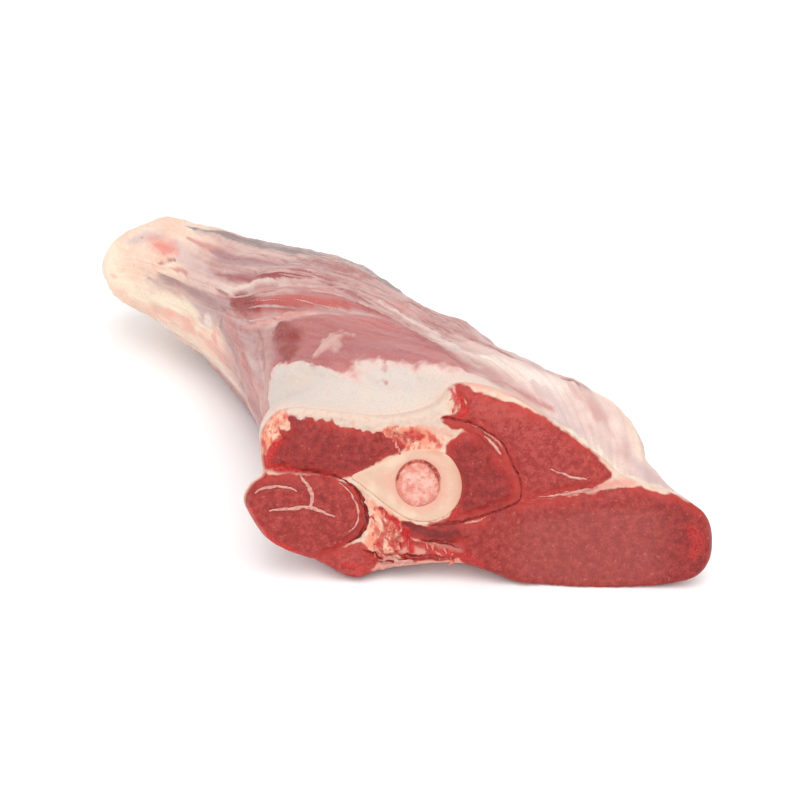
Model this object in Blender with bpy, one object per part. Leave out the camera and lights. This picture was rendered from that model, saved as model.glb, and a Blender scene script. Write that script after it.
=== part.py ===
"""Raw lamb shank on the bone.

The lower hind leg of a lamb, sawn across below the knee and jointed at the hock. The muscles are
thick at the saw cut and run down into sinew at the hock. Three pieces: the flesh, which is one
solid with a channel along it, the shin bone in that channel, and the marrow in the bone.

Every piece is a loft: rings of points in planes set along the shin bone. A plane's own axes are
"across" and "up", measured from the middle of the bone.
"""

from collections import namedtuple
from math import cos, pi, radians, sin

import bmesh
import bpy
import numpy as np
from mathutils.geometry import delaunay_2d_cdt

MM = 0.001      # every size below is in millimetres, and the meshes are in metres
GAP = 0.3       # left between pieces that touch

# The shin bone runs along +Y, from the saw cut to the hock, and dips a little on the way.
HOCK_Y = 166.0
BONE_HEIGHT_AT_CUT = 28.0
BONE_HEIGHT_AT_HOCK = 21.0

# Planes across the flesh. The middle and the four half widths are measured from the bone; turn
# and lean, in degrees, set the plane askew, most of all at the saw cut.
Plane = namedtuple("Plane", "y across up left right top bottom turn lean")
FLESH = (
    Plane(0, 16, -4, 46, 70, 38, 25, 33, 12),
    Plane(14, 14, -3, 43, 62, 33, 27, 31, 11),
    Plane(38, 12, -2, 35, 52.5, 29, 27, 26, 8),
    Plane(66, 13, -1, 27, 42, 27.5, 26, 18, 4),
    Plane(94, 14, 0, 21, 32, 26.5, 25, 10, 0),
    Plane(122, 12, 0, 18, 24, 21.5, 20, 4, -2),
    Plane(149, 5, 1, 17, 18, 20.5, 15.5, -6, -7),
    Plane(162, -1, 1.5, 15.5, 14, 17.5, 11, -14, -12),
    Plane(HOCK_Y, -2, 2, 13, 12, 13.5, 9.5, -16, -13),
)
FLESH_SQUARENESS = 2.3      # exponent of the superellipse; 2 is an ellipse
FLESH_COLUMNS = 76
FLESH_ROWS = 36

# The outline of the saw cut, from the front muscle round by the top to the heel muscle.
CUT_OUTLINE = (
    (-42, 6), (-42, 14), (-38, 19.5), (-32, 21), (-21, 20), (-8, 19), (4, 22), (10, 28), (16, 28.5),
    (24, 26), (37, 18), (49, 9), (56, 3), (64, 0), (72, -3), (78, -7), (80.5, -13), (80, -21),
    (75, -26.5), (61, -29.5), (45, -30), (28, -28.5), (20, -25.5), (10, -23), (-2, -24), (-11, -26),
    (-18, -28), (-27, -23.5), (-35, -20.5), (-41, -17), (-45, -11), (-47, -6), (-45, -1.5), (-41.5, 1.5),
)
CUT_MIDDLE = (20, -10)
CUT_FADE = 26.0             # behind the cut, its outline fades into the plain planes over this
CUT_GRID = 2.8              # between points on the cut face
CUT_EDGE = 1.6              # rounding of the cut's edge

# The muscles that the saw went through. Each stands proud of the fat between them.
MUSCLES = {
    "front": ((-41, 5), (-39.5, 12), (-35, 19), (-27, 18.5), (-18, 17), (-8, 14), (-3, 11), (-12, 7),
              (-20, 2), (-33, 3.5)),
    "long_flexor": ((-46.5, -6), (-44, -1.5), (-38, 2), (-28, 2.3), (-20, -0.5), (-15, -6), (-15, -13),
                    (-21, -18.5), (-30, -21), (-40, -17), (-45, -11)),
    "deep_flexor": ((8, 12), (14, 15), (21, 9), (27, 1), (27.5, -4), (19, -8), (9, -10.3), (12, -6),
                    (12.6, -1), (11.5, 5)),
    "calf": ((9.7, 27.7), (15, 26.5), (26, 24), (38, 17.5), (49, 9), (53, 3.3), (47, -0.5), (35, -3.2),
             (28, -3.5), (23, 7), (20, 13), (14, 16.4), (6.5, 18.5), (11, 22.5)),
    "heel": ((12, -18), (14, -12), (22, -8), (32, -5), (47, -1.5), (60, 0.5), (71, -2.5), (77, -7),
             (79.5, -13), (79, -21), (72, -26), (60, -29), (44, -29.5), (28, -28), (18, -23)),
    "scrap": ((-27, -22), (-20, -18.5), (-15, -17), (-10, -22), (-12, -25), (-18, -27)),
}
MUSCLE_RISE = 1.8
MUSCLE_SHOULDER = 5.0       # how far in from its edge a muscle reaches its full rise

# Furrows between the bellies of the muscles, as (y, degrees round the plane), with their depth.
FURROWS = (
    (((143, 156), (127, 162), (112, 152), (94, 140), (76, 150), (56, 165)), 1.2),
    (((121, 136), (102, 130), (91, 118), (84, 98), (76, 76), (57, 64), (40, 60)), 1.0),
    (((139, 98), (115, 96), (97, 84), (84, 66), (70, 48), (45, 42)), 0.9),
    (((80, 136), (73, 126), (67, 108), (58, 92)), 0.8),
    (((66, 186), (44, 184), (20, 181), (0, 179)), 2.0),
    (((146, 30), (118, 20), (88, 12), (58, 8), (30, 12)), 1.6),
    (((144, -20), (116, -24), (84, -24), (52, -18), (24, -12)), 1.2),
    (((140, -70), (108, -66), (76, -52), (46, -40)), 1.0),
    (((140, -140), (112, -146), (80, -152), (46, -160), (18, -168)), 1.6),
)
FURROW_WIDTH = 5.0

# What lies on the table is flattened: it is pressed up over this height.
PRESSED = 1.6

# The shin bone: half widths and middle of its planes. At the saw cut its section is a drop, whose
# point is the crest of the shin; the crest fades into the shaft.
Shaft = namedtuple("Shaft", "y half_across half_up across up")
BONE = (
    Shaft(0, 10.5, 10, 0, 0),
    Shaft(32, 9.5, 8.5, 0.5, 0),
    Shaft(70, 7.5, 6.8, 2.5, 0),
    Shaft(108, 6.8, 6.3, 5, 0),
    Shaft(136, 8, 7, 3, 0.5),
    Shaft(152, 10.5, 8.5, 0, 1.5),
    Shaft(HOCK_Y - 5, 11.3, 9.5, -2, 2),
    Shaft(HOCK_Y + 2, 11.3, 9.5, -2.5, 2.5),
)
BONE_CUT_OUTLINE = (
    (-18.3, 1.8), (-13.2, 4.5), (-6.3, 7.8), (-1.5, 9.6), (3.5, 9.9), (8.3, 8), (11, 4), (11.9, -0.8),
    (10.8, -5.5), (7.5, -9.2), (2.6, -10.9), (-2.7, -10.2), (-7.8, -7), (-12, -3.6), (-15.5, -0.8),
)
CREST_FADE = 32.0
BONE_COLUMNS = 26
BONE_ROWS = (0, 8, 16, 24, 32, 48, 66, 86, 106, 124, 136, 144, 152, HOCK_Y - 5)
BONE_PROUD = 0.5            # of the flesh at the cut
BONE_BEVEL = 0.5
CHANNEL_OVERRUN = 10.0      # past the flesh at both ends

# The knuckle at the hock: rings beyond the shaft's end, as (distance on, share of its width).
KNUCKLE = ((3.0, 0.97), (5.0, 0.86), (6.0, 0.68), (5.2, 0.4))
KNUCKLE_SLANT = 0.16        # its inner side reaches further down the leg than its outer side
KNUCKLE_GROOVE = 1.0        # depth of the two grooves that the hock joint ran in
KNUCKLE_GROOVE_APART = 10.0

CANAL_HALF_ACROSS = 6.1
CANAL_HALF_UP = 6.8
CANAL_END = 140.0
CANAL_NARROW = 0.5          # share of its width left at the hock end
CANAL_ROWS = (12, 24, 36, 52, 70, 90, 108, 124, CANAL_END)
MARROW_DOME = ((1.0, -0.4), (0.9, 0.2), (0.55, 0.7))     # share of its width, height off the cut

FLESH_COLOR = (0.42, 0.09, 0.08, 1)
BONE_COLOR = (0.86, 0.66, 0.48, 1)
MARROW_COLOR = (0.80, 0.36, 0.27, 1)


def eased(share):
    """0 to 1 with a level start and end."""
    share = np.clip(share, 0, 1)
    return share * share * (3 - 2 * share)


def between(planes, y):
    """The values of a table of planes at y, on a smooth curve through its rows."""
    table = np.array(planes, float)
    stops, values = table[:, 0], table[:, 1:]
    slopes = np.gradient(values, stops, axis=0)
    low = int(np.clip(np.searchsorted(stops, y, side="right") - 1, 0, len(stops) - 2))
    step = stops[low + 1] - stops[low]
    share = np.clip((y - stops[low]) / step, 0, 1)
    rise = eased(share)
    start_pull = share * (1 - share) ** 2 * step
    end_pull = share**2 * (share - 1) * step
    ends = (1 - rise) * values[low] + rise * values[low + 1]
    return ends + start_pull * slopes[low] + end_pull * slopes[low + 1]


def bone_height(y):
    return BONE_HEIGHT_AT_CUT + (BONE_HEIGHT_AT_HOCK - BONE_HEIGHT_AT_CUT) * y / HOCK_Y


def plane_axes(turn, lean):
    """Across, up and towards the knee, for a plane that is turned and leant."""
    turn, lean = radians(turn), radians(lean)
    across = np.array((cos(turn), -sin(turn), 0))
    up = np.array((sin(lean) * sin(turn), sin(lean) * cos(turn), cos(lean)))
    return across, up, np.cross(across, up)


def in_plane(points, y, rise=0.0):
    """Points given across and up, set in the flesh's plane at y; rise lifts them off it."""
    turn, lean = between(FLESH, y)[-2:]
    across, up, out = plane_axes(turn, lean)
    points = np.asarray(points, float)
    middle = np.array((0, y, bone_height(y)))
    return middle + points[:, :1] * across + points[:, 1:] * up + np.reshape(rise, (-1, 1)) * out


def slid(ring, amount):
    """A ring moved along the bone, towards the knee, so that it stays in line with the next."""
    return ring - np.array((0, amount, 0))


def smooth_loop(points, steps=24):
    """A closed Catmull-Rom curve through the points."""
    points = np.array(points, float)
    share = np.arange(steps)[:, None] / steps
    curve = []
    for index in range(len(points)):
        before, start, end, after = (points[(index + k) % len(points)] for k in (-1, 0, 1, 2))
        bend = 2 * before - 5 * start + 4 * end - after
        twist = 3 * start - before - 3 * end + after
        curve.append(start + 0.5 * ((end - before) * share + bend * share**2 + twist * share**3))
    return np.vstack(curve)


def polar(loop, middle):
    """Angles and distances of a loop's points about its middle, by rising angle."""
    offset = loop - np.array(middle)
    angles = np.arctan2(offset[:, 1], offset[:, 0]) % (2 * pi)
    order = np.argsort(angles)
    return angles[order], np.hypot(*offset.T)[order]


def reach(loop, middle, angles):
    """How far a loop lies from its middle in each direction."""
    return np.interp(angles, *polar(loop, middle), period=2 * pi)


def column_angles(loop, middle, count):
    """Directions from the middle, closer together where the loop is far away."""
    angles = np.linspace(0, 2 * pi, 1441)
    distance = reach(loop, middle, angles)
    rim = np.stack((distance * np.cos(angles), distance * np.sin(angles)), 1)
    length = np.concatenate(([0], np.cumsum(np.hypot(*np.diff(rim, axis=0).T))))
    share = 0.7 * length / length[-1] + 0.3 * angles / (2 * pi)
    return np.interp(np.arange(count) / count, share, angles)


def superellipse(angles, left, right, top, bottom, squareness):
    """A rounded outline with its own half width each way."""
    c, s = np.cos(angles), np.sin(angles)
    wide = np.where(c > 0, right, left)
    high = np.where(s > 0, top, bottom)
    distance = (np.abs(c / wide) ** squareness + np.abs(s / high) ** squareness) ** (-1 / squareness)
    return np.stack((distance * c, distance * s), 1)


def grown(loop, amount):
    """A loop moved outwards by the same amount all round."""
    along = np.roll(loop, -1, axis=0) - np.roll(loop, 1, axis=0)
    outwards = np.stack((along[:, 1], -along[:, 0]), 1) / np.hypot(*along.T)[:, None]
    return loop + amount * outwards


def distance_inside(points, loop):
    """Distance of points from a loop: more than 0 inside it, less outside."""
    start, end = loop, np.roll(loop, -1, axis=0)
    along = end - start
    offset = points[:, None] - start
    share = np.clip((offset * along).sum(2) / (along**2).sum(1), 0, 1)
    distance = np.hypot(*np.moveaxis(offset - share[..., None] * along, 2, 0)).min(1)
    crosses = (start[:, 1] > points[:, None, 1]) != (end[:, 1] > points[:, None, 1])
    level = np.where(along[:, 1] == 0, 1, along[:, 1])
    beyond = offset[..., 0] < along[:, 0] * offset[..., 1] / level
    inside = (crosses & beyond).sum(1) % 2 == 1
    return np.where(inside, distance, -distance)


def cut_relief(points):
    """How far the cut face stands out: the muscles swell, and the cut's edge is rounded."""
    within = np.full(len(points), -1e3)
    for outline in MUSCLES.values():
        within = np.maximum(within, distance_inside(points, smooth_loop(outline, 6)))
    from_edge = np.clip(distance_inside(points, smooth_loop(CUT_OUTLINE, 6)), 0, CUT_EDGE)
    edge = CUT_EDGE - np.sqrt(CUT_EDGE**2 - (CUT_EDGE - from_edge) ** 2)
    return MUSCLE_RISE * eased(within / MUSCLE_SHOULDER) - edge


def flesh_section(y, angles):
    """The outline of the flesh at y, across and up from the bone."""
    across, up, left, right, top, bottom = between(FLESH, y)[:-2]
    plain = (across, up) + superellipse(angles, left, right, top, bottom, FLESH_SQUARENESS)
    distance = reach(smooth_loop(CUT_OUTLINE), CUT_MIDDLE, angles)[:, None]
    cut = np.array(CUT_MIDDLE) + distance * np.stack((np.cos(angles), np.sin(angles)), 1)
    share = eased(1 - y / CUT_FADE)
    return (1 - share) * plain + share * cut


def furrowed(rings):
    """Press the furrows between the muscles' bellies into the flesh's side."""
    y_table = np.array([y for y, ring in rings])
    skin = np.array([ring for y, ring in rings])
    middle = skin.mean(axis=1, keepdims=True)
    inwards = middle - skin
    inwards /= np.linalg.norm(inwards, axis=2, keepdims=True)
    depth = np.zeros(skin.shape[:2])
    for path, deepest in FURROWS:
        stops = np.array(path, float)
        steps = np.linspace(0, len(stops) - 1, 8 * len(stops))
        ys, turns = (np.interp(steps, range(len(stops)), stops[:, k]) for k in (0, 1))
        bottom = np.vstack([
            in_plane(flesh_section(y, np.array([radians(turn) % (2 * pi)])), y)
            for y, turn in zip(ys, turns)
        ])
        near = np.linalg.norm(skin[:, :, None] - bottom, axis=3).min(axis=2)
        depth = np.maximum(depth, deepest * np.exp(-((near / FURROW_WIDTH) ** 2)))
    fade = eased(y_table / 6)[:, None] * 0.6 + 0.4
    return skin + (depth * fade)[..., None] * inwards


def pressed(points):
    """Flatten what would reach below the table."""
    points = np.array(points)
    height = points[:, 2]
    eased_height = 0.5 * (height + np.sqrt(height**2 + PRESSED**2))
    points[:, 2] = np.maximum(eased_height - 0.35 * PRESSED, 0)
    return points


def new_piece(name, points, faces, color, roughness, collection):
    """An object from points in millimetres, with faces turned outwards and its own material."""
    mesh = bpy.data.meshes.new(name)
    mesh.from_pydata((np.asarray(points) * MM).tolist(), [], faces)
    shape = bmesh.new()
    shape.from_mesh(mesh)
    bmesh.ops.recalc_face_normals(shape, faces=shape.faces)
    bmesh.ops.triangulate(shape, faces=shape.faces)
    shape.to_mesh(mesh)
    shape.free()
    mesh.shade_smooth()
    material = bpy.data.materials.new(name)
    material.use_nodes = True
    shader = material.node_tree.nodes["Principled BSDF"]
    shader.inputs["Base Color"].default_value = color
    shader.inputs["Roughness"].default_value = roughness
    mesh.materials.append(material)
    piece = bpy.data.objects.new(name, mesh)
    collection.objects.link(piece)
    return piece


def loft(rings):
    """Points and faces of a closed skin over rings, with a point at the middle of each end."""
    columns = len(rings[0])
    points = [rings[0].mean(axis=0)]
    for ring in rings:
        points.extend(ring)
    points.append(rings[-1].mean(axis=0))
    faces = []
    for row in range(len(rings) - 1):
        start = 1 + row * columns
        for column in range(columns):
            after = (column + 1) % columns
            faces.append((start + column, start + after, start + columns + after, start + columns + column))
    last = 1 + (len(rings) - 1) * columns
    for column in range(columns):
        after = (column + 1) % columns
        faces.append((0, 1 + after, 1 + column))
        faces.append((len(points) - 1, last + column, last + after))
    return points, faces


def make_flesh(collection):
    """The muscles, fat and sinew, fused: a loft from the hock to the cut, and the cut's face."""
    outline = smooth_loop(CUT_OUTLINE)
    angles = column_angles(outline, CUT_MIDDLE, FLESH_COLUMNS)
    rows = HOCK_Y * np.linspace(1, 0, FLESH_ROWS)
    sections = [(y, flesh_section(y, angles)) for y in rows]
    skin = furrowed([(y, in_plane(section, y)) for y, section in sections])

    # The hock end turns in to the bone, and the cut's edge turns in to its face.
    hock_section = sections[0][1]
    hock_middle = hock_section.mean(axis=0)
    hock_rings = []
    for on, share in ((1.2, 0.35), (1.8, 0.62), (1.4, 0.86)):
        ring = in_plane(hock_middle + share * (hock_section - hock_middle), HOCK_Y)
        hock_rings.append(ring + (0, on, 0))
    rim = sections[-1][1]
    rim_rings = []
    for inset in (0.35 * CUT_EDGE, CUT_EDGE):
        edge = grown(rim, -inset)
        rim_rings.append(in_plane(edge, 0, cut_relief(edge)))
    rings = hock_rings + list(skin[:-1]) + [in_plane(rim, 0, cut_relief(rim))] + rim_rings
    points, faces = loft(rings)

    # The loft's last fan is replaced by a grid over the cut's face.
    points.pop()
    faces = [face for face in faces if max(face) < len(points)]
    border = grown(rim, -CUT_EDGE)
    low, high = border.min(axis=0), border.max(axis=0)
    grid = []
    for row, up in enumerate(np.arange(low[1], high[1], CUT_GRID * 0.866)):
        for across in np.arange(low[0] + (row % 2) * CUT_GRID / 2, high[0], CUT_GRID):
            grid.append((across, up))
    grid = np.array(grid)
    grid = grid[distance_inside(grid, border) > 0.55 * CUT_GRID]
    flat = np.vstack((border, grid))
    loop = list(range(len(border)))
    found = delaunay_2d_cdt(flat.tolist(), [], [loop], 1, 1e-6)
    first_border = len(points) - len(border)
    place = [first_border + sources[0] for sources in found[3]]
    points.extend(in_plane(grid, 0, cut_relief(grid)))
    faces.extend(tuple(place[corner] for corner in face) for face in found[2])
    return new_piece("flesh", pressed(points), faces, FLESH_COLOR, 0.38, collection)


def bone_section(y, angles):
    """The outline of the shin bone at y: a drop at the cut, an oval along the shaft."""
    half_across, half_up, across, up = between(BONE, min(y, BONE[-1].y))
    shaft = (across, up) + superellipse(angles, half_across, half_across, half_up, half_up, 2.2)
    distance = reach(smooth_loop(BONE_CUT_OUTLINE), (0, 0), angles)[:, None]
    drop = distance * np.stack((np.cos(angles), np.sin(angles)), 1)
    share = eased(1 - y / CREST_FADE)
    return (1 - share) * shaft + share * drop


def bone_angles():
    return column_angles(smooth_loop(BONE_CUT_OUTLINE), (0, 0), BONE_COLUMNS)


def canal_section(y, angles):
    """The outline of the marrow's canal, in the middle of the bone and narrower down the leg."""
    middle = between(BONE, y)[-2:] * (1 - eased(1 - y / CREST_FADE))
    narrow = 1 - (1 - CANAL_NARROW) * y / CANAL_END
    across, up = CANAL_HALF_ACROSS * narrow, CANAL_HALF_UP * narrow
    return middle + superellipse(angles, across, across, up, up, 2)


def make_bone(collection):
    """The shin bone: outside from the knuckle to the cut, then in and along the marrow's canal."""
    angles = bone_angles()
    end = BONE[-1].y
    end_section = bone_section(end, angles)
    end_middle = end_section.mean(axis=0)
    rings = []
    for on, share in reversed(KNUCKLE):
        section = end_middle + share * (end_section - end_middle)
        ring = in_plane(section, end)
        sideways = section[:, 0] - end_middle[0]
        groove = KNUCKLE_GROOVE * (1 - share**2) * np.cos(2 * pi * sideways / KNUCKLE_GROOVE_APART)
        ring[:, 1] += on + groove - KNUCKLE_SLANT * sideways
        rings.append(ring)
    for y in reversed(BONE_ROWS[1:] + (end,)):
        rings.append(in_plane(bone_section(y, angles), y))
    cut = bone_section(0, angles)
    rings.append(slid(in_plane(cut, 0), BONE_PROUD - BONE_BEVEL))
    rings.append(slid(in_plane(grown(cut, -BONE_BEVEL), 0), BONE_PROUD))
    rings.append(slid(in_plane(canal_section(0, angles), 0), BONE_PROUD))
    for y in CANAL_ROWS:
        rings.append(in_plane(canal_section(y, angles), y))
    points, faces = loft(rings)
    return new_piece("shin_bone", points, faces, BONE_COLOR, 0.5, collection)


def make_bone_channel(cutters):
    """Cuts the way for the bone through the flesh, a gap wider all round and open at both ends."""
    angles = bone_angles()
    before_cut = in_plane(grown(bone_section(0, angles), GAP), 0)
    rings = [slid(before_cut, CHANNEL_OVERRUN)]
    for y in BONE_ROWS:
        rings.append(in_plane(grown(bone_section(y, angles), GAP), y))
    end = in_plane(grown(bone_section(BONE[-1].y, angles), GAP), BONE[-1].y)
    rings.extend((end, slid(end, -CHANNEL_OVERRUN)))
    points, faces = loft(rings)
    channel = new_piece("bone_channel", points, faces, BONE_COLOR, 0.5, cutters)
    channel.hide_render = True
    channel.display_type = "WIRE"
    return channel


def make_marrow(collection):
    """The marrow: a plug that fills the canal and swells a little at the cut."""
    angles = bone_angles()
    rings = []
    for y in reversed(CANAL_ROWS):
        ring = in_plane(grown(canal_section(y, angles), -GAP), y)
        rings.append(slid(ring, 2 * GAP) if y == CANAL_END else ring)
    plug = grown(canal_section(0, angles), -GAP)
    for share, out in MARROW_DOME:
        rings.append(slid(in_plane(plug * share, 0), out))
    points, faces = loft(rings)
    return new_piece("marrow", points, faces, MARROW_COLOR, 0.45, collection)


def cut_out(piece, cutter):
    """Cut one piece with another and keep the result as the piece's mesh."""
    cut = piece.modifiers.new("channel", "BOOLEAN")
    cut.operation = "DIFFERENCE"
    cut.solver = "EXACT"
    cut.object = cutter


def stand(pieces):
    """Put the pieces under an empty, so that the middle of the underside is the origin."""
    corners = np.array([vertex.co for piece in pieces for vertex in piece.data.vertices])
    low, high = corners.min(axis=0), corners.max(axis=0)
    middle = (low + high) / 2
    holder = bpy.data.objects.new("lamb_shank", None)
    pieces[0].users_collection[0].objects.link(holder)
    holder.location = (-middle[0], -middle[1], -low[2])
    for piece in pieces:
        piece.parent = holder
    return holder


for old in list(bpy.data.objects):
    bpy.data.objects.remove(old)

shank = bpy.data.collections.new("lamb_shank")
cutters = bpy.data.collections.new("cutters")
for group in (shank, cutters):
    bpy.context.scene.collection.children.link(group)

flesh = make_flesh(shank)
bone = make_bone(shank)
marrow = make_marrow(shank)
channel = make_bone_channel(cutters)
cut_out(flesh, channel)
holder = stand([flesh, bone, marrow])
channel.parent = holder
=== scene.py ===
from collections import namedtuple
from math import cos, pi, radians, sin

import bmesh
import bpy
import numpy as np
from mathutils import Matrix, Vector, noise
from mathutils.geometry import delaunay_2d_cdt


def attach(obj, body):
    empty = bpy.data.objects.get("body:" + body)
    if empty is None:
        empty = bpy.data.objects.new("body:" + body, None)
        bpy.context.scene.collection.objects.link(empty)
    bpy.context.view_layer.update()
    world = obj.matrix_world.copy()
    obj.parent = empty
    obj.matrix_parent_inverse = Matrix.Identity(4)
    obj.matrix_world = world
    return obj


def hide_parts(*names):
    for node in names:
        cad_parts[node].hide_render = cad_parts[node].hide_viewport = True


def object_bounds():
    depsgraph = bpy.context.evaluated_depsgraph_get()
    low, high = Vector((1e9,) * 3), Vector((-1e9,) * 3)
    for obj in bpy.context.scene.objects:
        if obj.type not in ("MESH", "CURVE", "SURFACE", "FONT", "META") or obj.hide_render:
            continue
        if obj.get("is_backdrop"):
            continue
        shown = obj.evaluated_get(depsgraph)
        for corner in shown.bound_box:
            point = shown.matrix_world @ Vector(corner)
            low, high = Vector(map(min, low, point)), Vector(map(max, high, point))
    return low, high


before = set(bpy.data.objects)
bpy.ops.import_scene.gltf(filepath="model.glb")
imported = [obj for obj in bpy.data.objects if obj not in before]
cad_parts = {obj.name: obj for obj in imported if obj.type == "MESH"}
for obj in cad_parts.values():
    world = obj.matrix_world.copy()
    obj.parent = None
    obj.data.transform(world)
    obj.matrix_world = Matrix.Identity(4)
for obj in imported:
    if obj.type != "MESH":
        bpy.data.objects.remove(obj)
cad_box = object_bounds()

# ---------------------------------------------------------------------------------------------
# SHIN BONE. The lamb's tibia runs the whole length of the shank. The saw has left its end as a
# smooth cream ring with the sharp crest of the shin on one side; at the hock it ends in a bare
# knuckle, covered in gristle where the hock joint was parted.

MM = 0.001      # sizes are in millimetres, and go to metres as each mesh is made
BONE_MIDDLE_AT_CUT = np.array((-13.75, -64.01, 0))      # where the bone's middle meets the saw cut

HOCK_Y = 166.0
BONE_HEIGHT_AT_CUT = 28.0
BONE_HEIGHT_AT_HOCK = 21.0

Plane = namedtuple("Plane", "y across up left right top bottom turn lean")
FLESH = (
    Plane(0, 16, -4, 46, 70, 38, 25, 33, 12),
    Plane(14, 14, -3, 43, 62, 33, 27, 31, 11),
    Plane(38, 12, -2, 35, 52.5, 29, 27, 26, 8),
    Plane(66, 13, -1, 27, 42, 27.5, 26, 18, 4),
    Plane(94, 14, 0, 21, 32, 26.5, 25, 10, 0),
    Plane(122, 12, 0, 18, 24, 21.5, 20, 4, -2),
    Plane(149, 5, 1, 17, 18, 20.5, 15.5, -6, -7),
    Plane(162, -1, 1.5, 15.5, 14, 17.5, 11, -14, -12),
    Plane(HOCK_Y, -2, 2, 13, 12, 13.5, 9.5, -16, -13),
)

Shaft = namedtuple("Shaft", "y half_across half_up across up")
BONE = (
    Shaft(0, 10.5, 10, 0, 0),
    Shaft(32, 9.5, 8.5, 0.5, 0),
    Shaft(70, 7.5, 6.8, 2.5, 0),
    Shaft(108, 6.8, 6.3, 5, 0),
    Shaft(136, 8, 7, 3, 0.5),
    Shaft(152, 10.5, 8.5, 0, 1.5),
    Shaft(HOCK_Y - 5, 11.3, 9.5, -2, 2),
    Shaft(HOCK_Y + 2, 11.3, 9.5, -2.5, 2.5),
)
BONE_CUT_OUTLINE = (
    (-18.3, 1.8), (-13.2, 4.5), (-6.3, 7.8), (-1.5, 9.6), (3.5, 9.9), (8.3, 8), (11, 4), (11.9, -0.8),
    (10.8, -5.5), (7.5, -9.2), (2.6, -10.9), (-2.7, -10.2), (-7.8, -7), (-12, -3.6), (-15.5, -0.8),
)
CREST_FADE = 32.0           # how far along the leg the crest of the shin goes over to the oval shaft
SHAFT_SQUARENESS = 2.2      # 2 is an ellipse, and more is squarer
SHAFT_RINGS = (165, 161, 156, 150, 144, 136, 124, 106, 86, 66, 48, 32, 24, 16, 10, 6, 3, 1)
SAWN_EDGE = ((0, 0.3), (0.1, 0.12), (0.35, 0.03))       # (how far in, how far down), from outside in
SAWN_RINGS = 22             # from the ring's outside to the canal
SAW_ROUGHNESS = 0.10
STAIN_MOST = 0.7            # of the blood on the side towards the calf
BONE_PROUD = 0.5            # of the leg's plane at the cut
BONE_COLUMNS = 180
CANAL_HALF_ACROSS = 6.1
CANAL_HALF_UP = 6.8
CANAL_DEPTH = 16.0
CANAL_TAPER = 0.98
CANAL_EDGE_DROP = 0.3
KNUCKLE_RINGS = 30
KNUCKLE_REACH = 6.0
KNUCKLE_SLANT = 0.16
KNUCKLE_GROOVE = 1.0
KNUCKLE_GROOVE_APART = 10.0
KNUCKLE_LUMPS = 0.35


def eased(share):
    """0 to 1 with a level start and end."""
    share = np.clip(share, 0, 1)
    return share * share * (3 - 2 * share)


def between(planes, y):
    """The values of a table of planes at y, on a smooth curve through its rows."""
    table = np.array(planes, float)
    stops, values = table[:, 0], table[:, 1:]
    slopes = np.gradient(values, stops, axis=0)
    low = int(np.clip(np.searchsorted(stops, y, side="right") - 1, 0, len(stops) - 2))
    step = stops[low + 1] - stops[low]
    share = np.clip((y - stops[low]) / step, 0, 1)
    rise = eased(share)
    ends = (1 - rise) * values[low] + rise * values[low + 1]
    start_pull = share * (1 - share) ** 2 * step * slopes[low]
    return ends + start_pull + share**2 * (share - 1) * step * slopes[low + 1]


def leg_axes(y):
    """Directions across and up in the leg's plane at y, and the one straight out of that plane."""
    turn, lean = (radians(angle) for angle in between(FLESH, y)[-2:])
    across = np.array((cos(turn), -sin(turn), 0))
    up = np.array((sin(lean) * sin(turn), sin(lean) * cos(turn), cos(lean)))
    return across, up, np.cross(across, up)


def in_plane(points, y, rise=0.0):
    """Points given across and up from the bone, set in the leg's plane at y and lifted off it."""
    across, up, out = leg_axes(y)
    points = np.asarray(points, float)
    height = BONE_HEIGHT_AT_CUT + (BONE_HEIGHT_AT_HOCK - BONE_HEIGHT_AT_CUT) * y / HOCK_Y
    return (0, y, height) + points[:, :1] * across + points[:, 1:] * up + np.reshape(rise, (-1, 1)) * out


def slid(ring, amount):
    """A ring moved along the bone, towards the knee."""
    return ring - np.reshape(amount, (-1, 1)) * (0, 1, 0)


def smooth_path(points, steps, closed=False):
    """A Catmull-Rom curve through the points."""
    points = np.array(points, float)
    count = len(points)
    share = np.arange(steps)[:, None] / steps
    curve = []
    for index in range(count if closed else count - 1):
        picks = [index + k for k in (-1, 0, 1, 2)]
        picks = [k % count if closed else min(max(k, 0), count - 1) for k in picks]
        before, start, end, after = points[picks]
        bend = 2 * before - 5 * start + 4 * end - after
        twist = 3 * start - before - 3 * end + after
        curve.append(start + 0.5 * ((end - before) * share + bend * share**2 + twist * share**3))
    return np.vstack(curve + ([] if closed else [points[-1:]]))


def around(angles, across, up=None):
    """Points in these directions from a middle, on a ring this wide and high."""
    up = across if up is None else up
    return np.stack((across * np.cos(angles), up * np.sin(angles)), 1)


def reach(loop, middle, angles):
    """How far a loop lies from its middle in each direction."""
    offset = loop - np.array(middle)
    bearings = np.arctan2(offset[:, 1], offset[:, 0]) % (2 * pi)
    order = np.argsort(bearings)
    return np.interp(angles, bearings[order], np.hypot(*offset.T)[order], period=2 * pi)


def column_angles(loop, middle, count):
    """Directions from the middle, closer together where the loop is far away."""
    angles = np.linspace(0, 2 * pi, 1441)
    rim = around(angles, reach(loop, middle, angles))
    length = np.concatenate(([0], np.cumsum(np.hypot(*np.diff(rim, axis=0).T))))
    share = 0.7 * length / length[-1] + 0.3 * angles / (2 * pi)
    return np.interp(np.arange(count) / count, share, angles)


def superellipse(angles, left, right, top, bottom, squareness):
    """A rounded outline with its own half width each way."""
    c, s = np.cos(angles), np.sin(angles)
    wide = np.where(c > 0, right, left)
    high = np.where(s > 0, top, bottom)
    distance = (np.abs(c / wide) ** squareness + np.abs(s / high) ** squareness) ** (-1 / squareness)
    return around(angles, distance)


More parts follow.
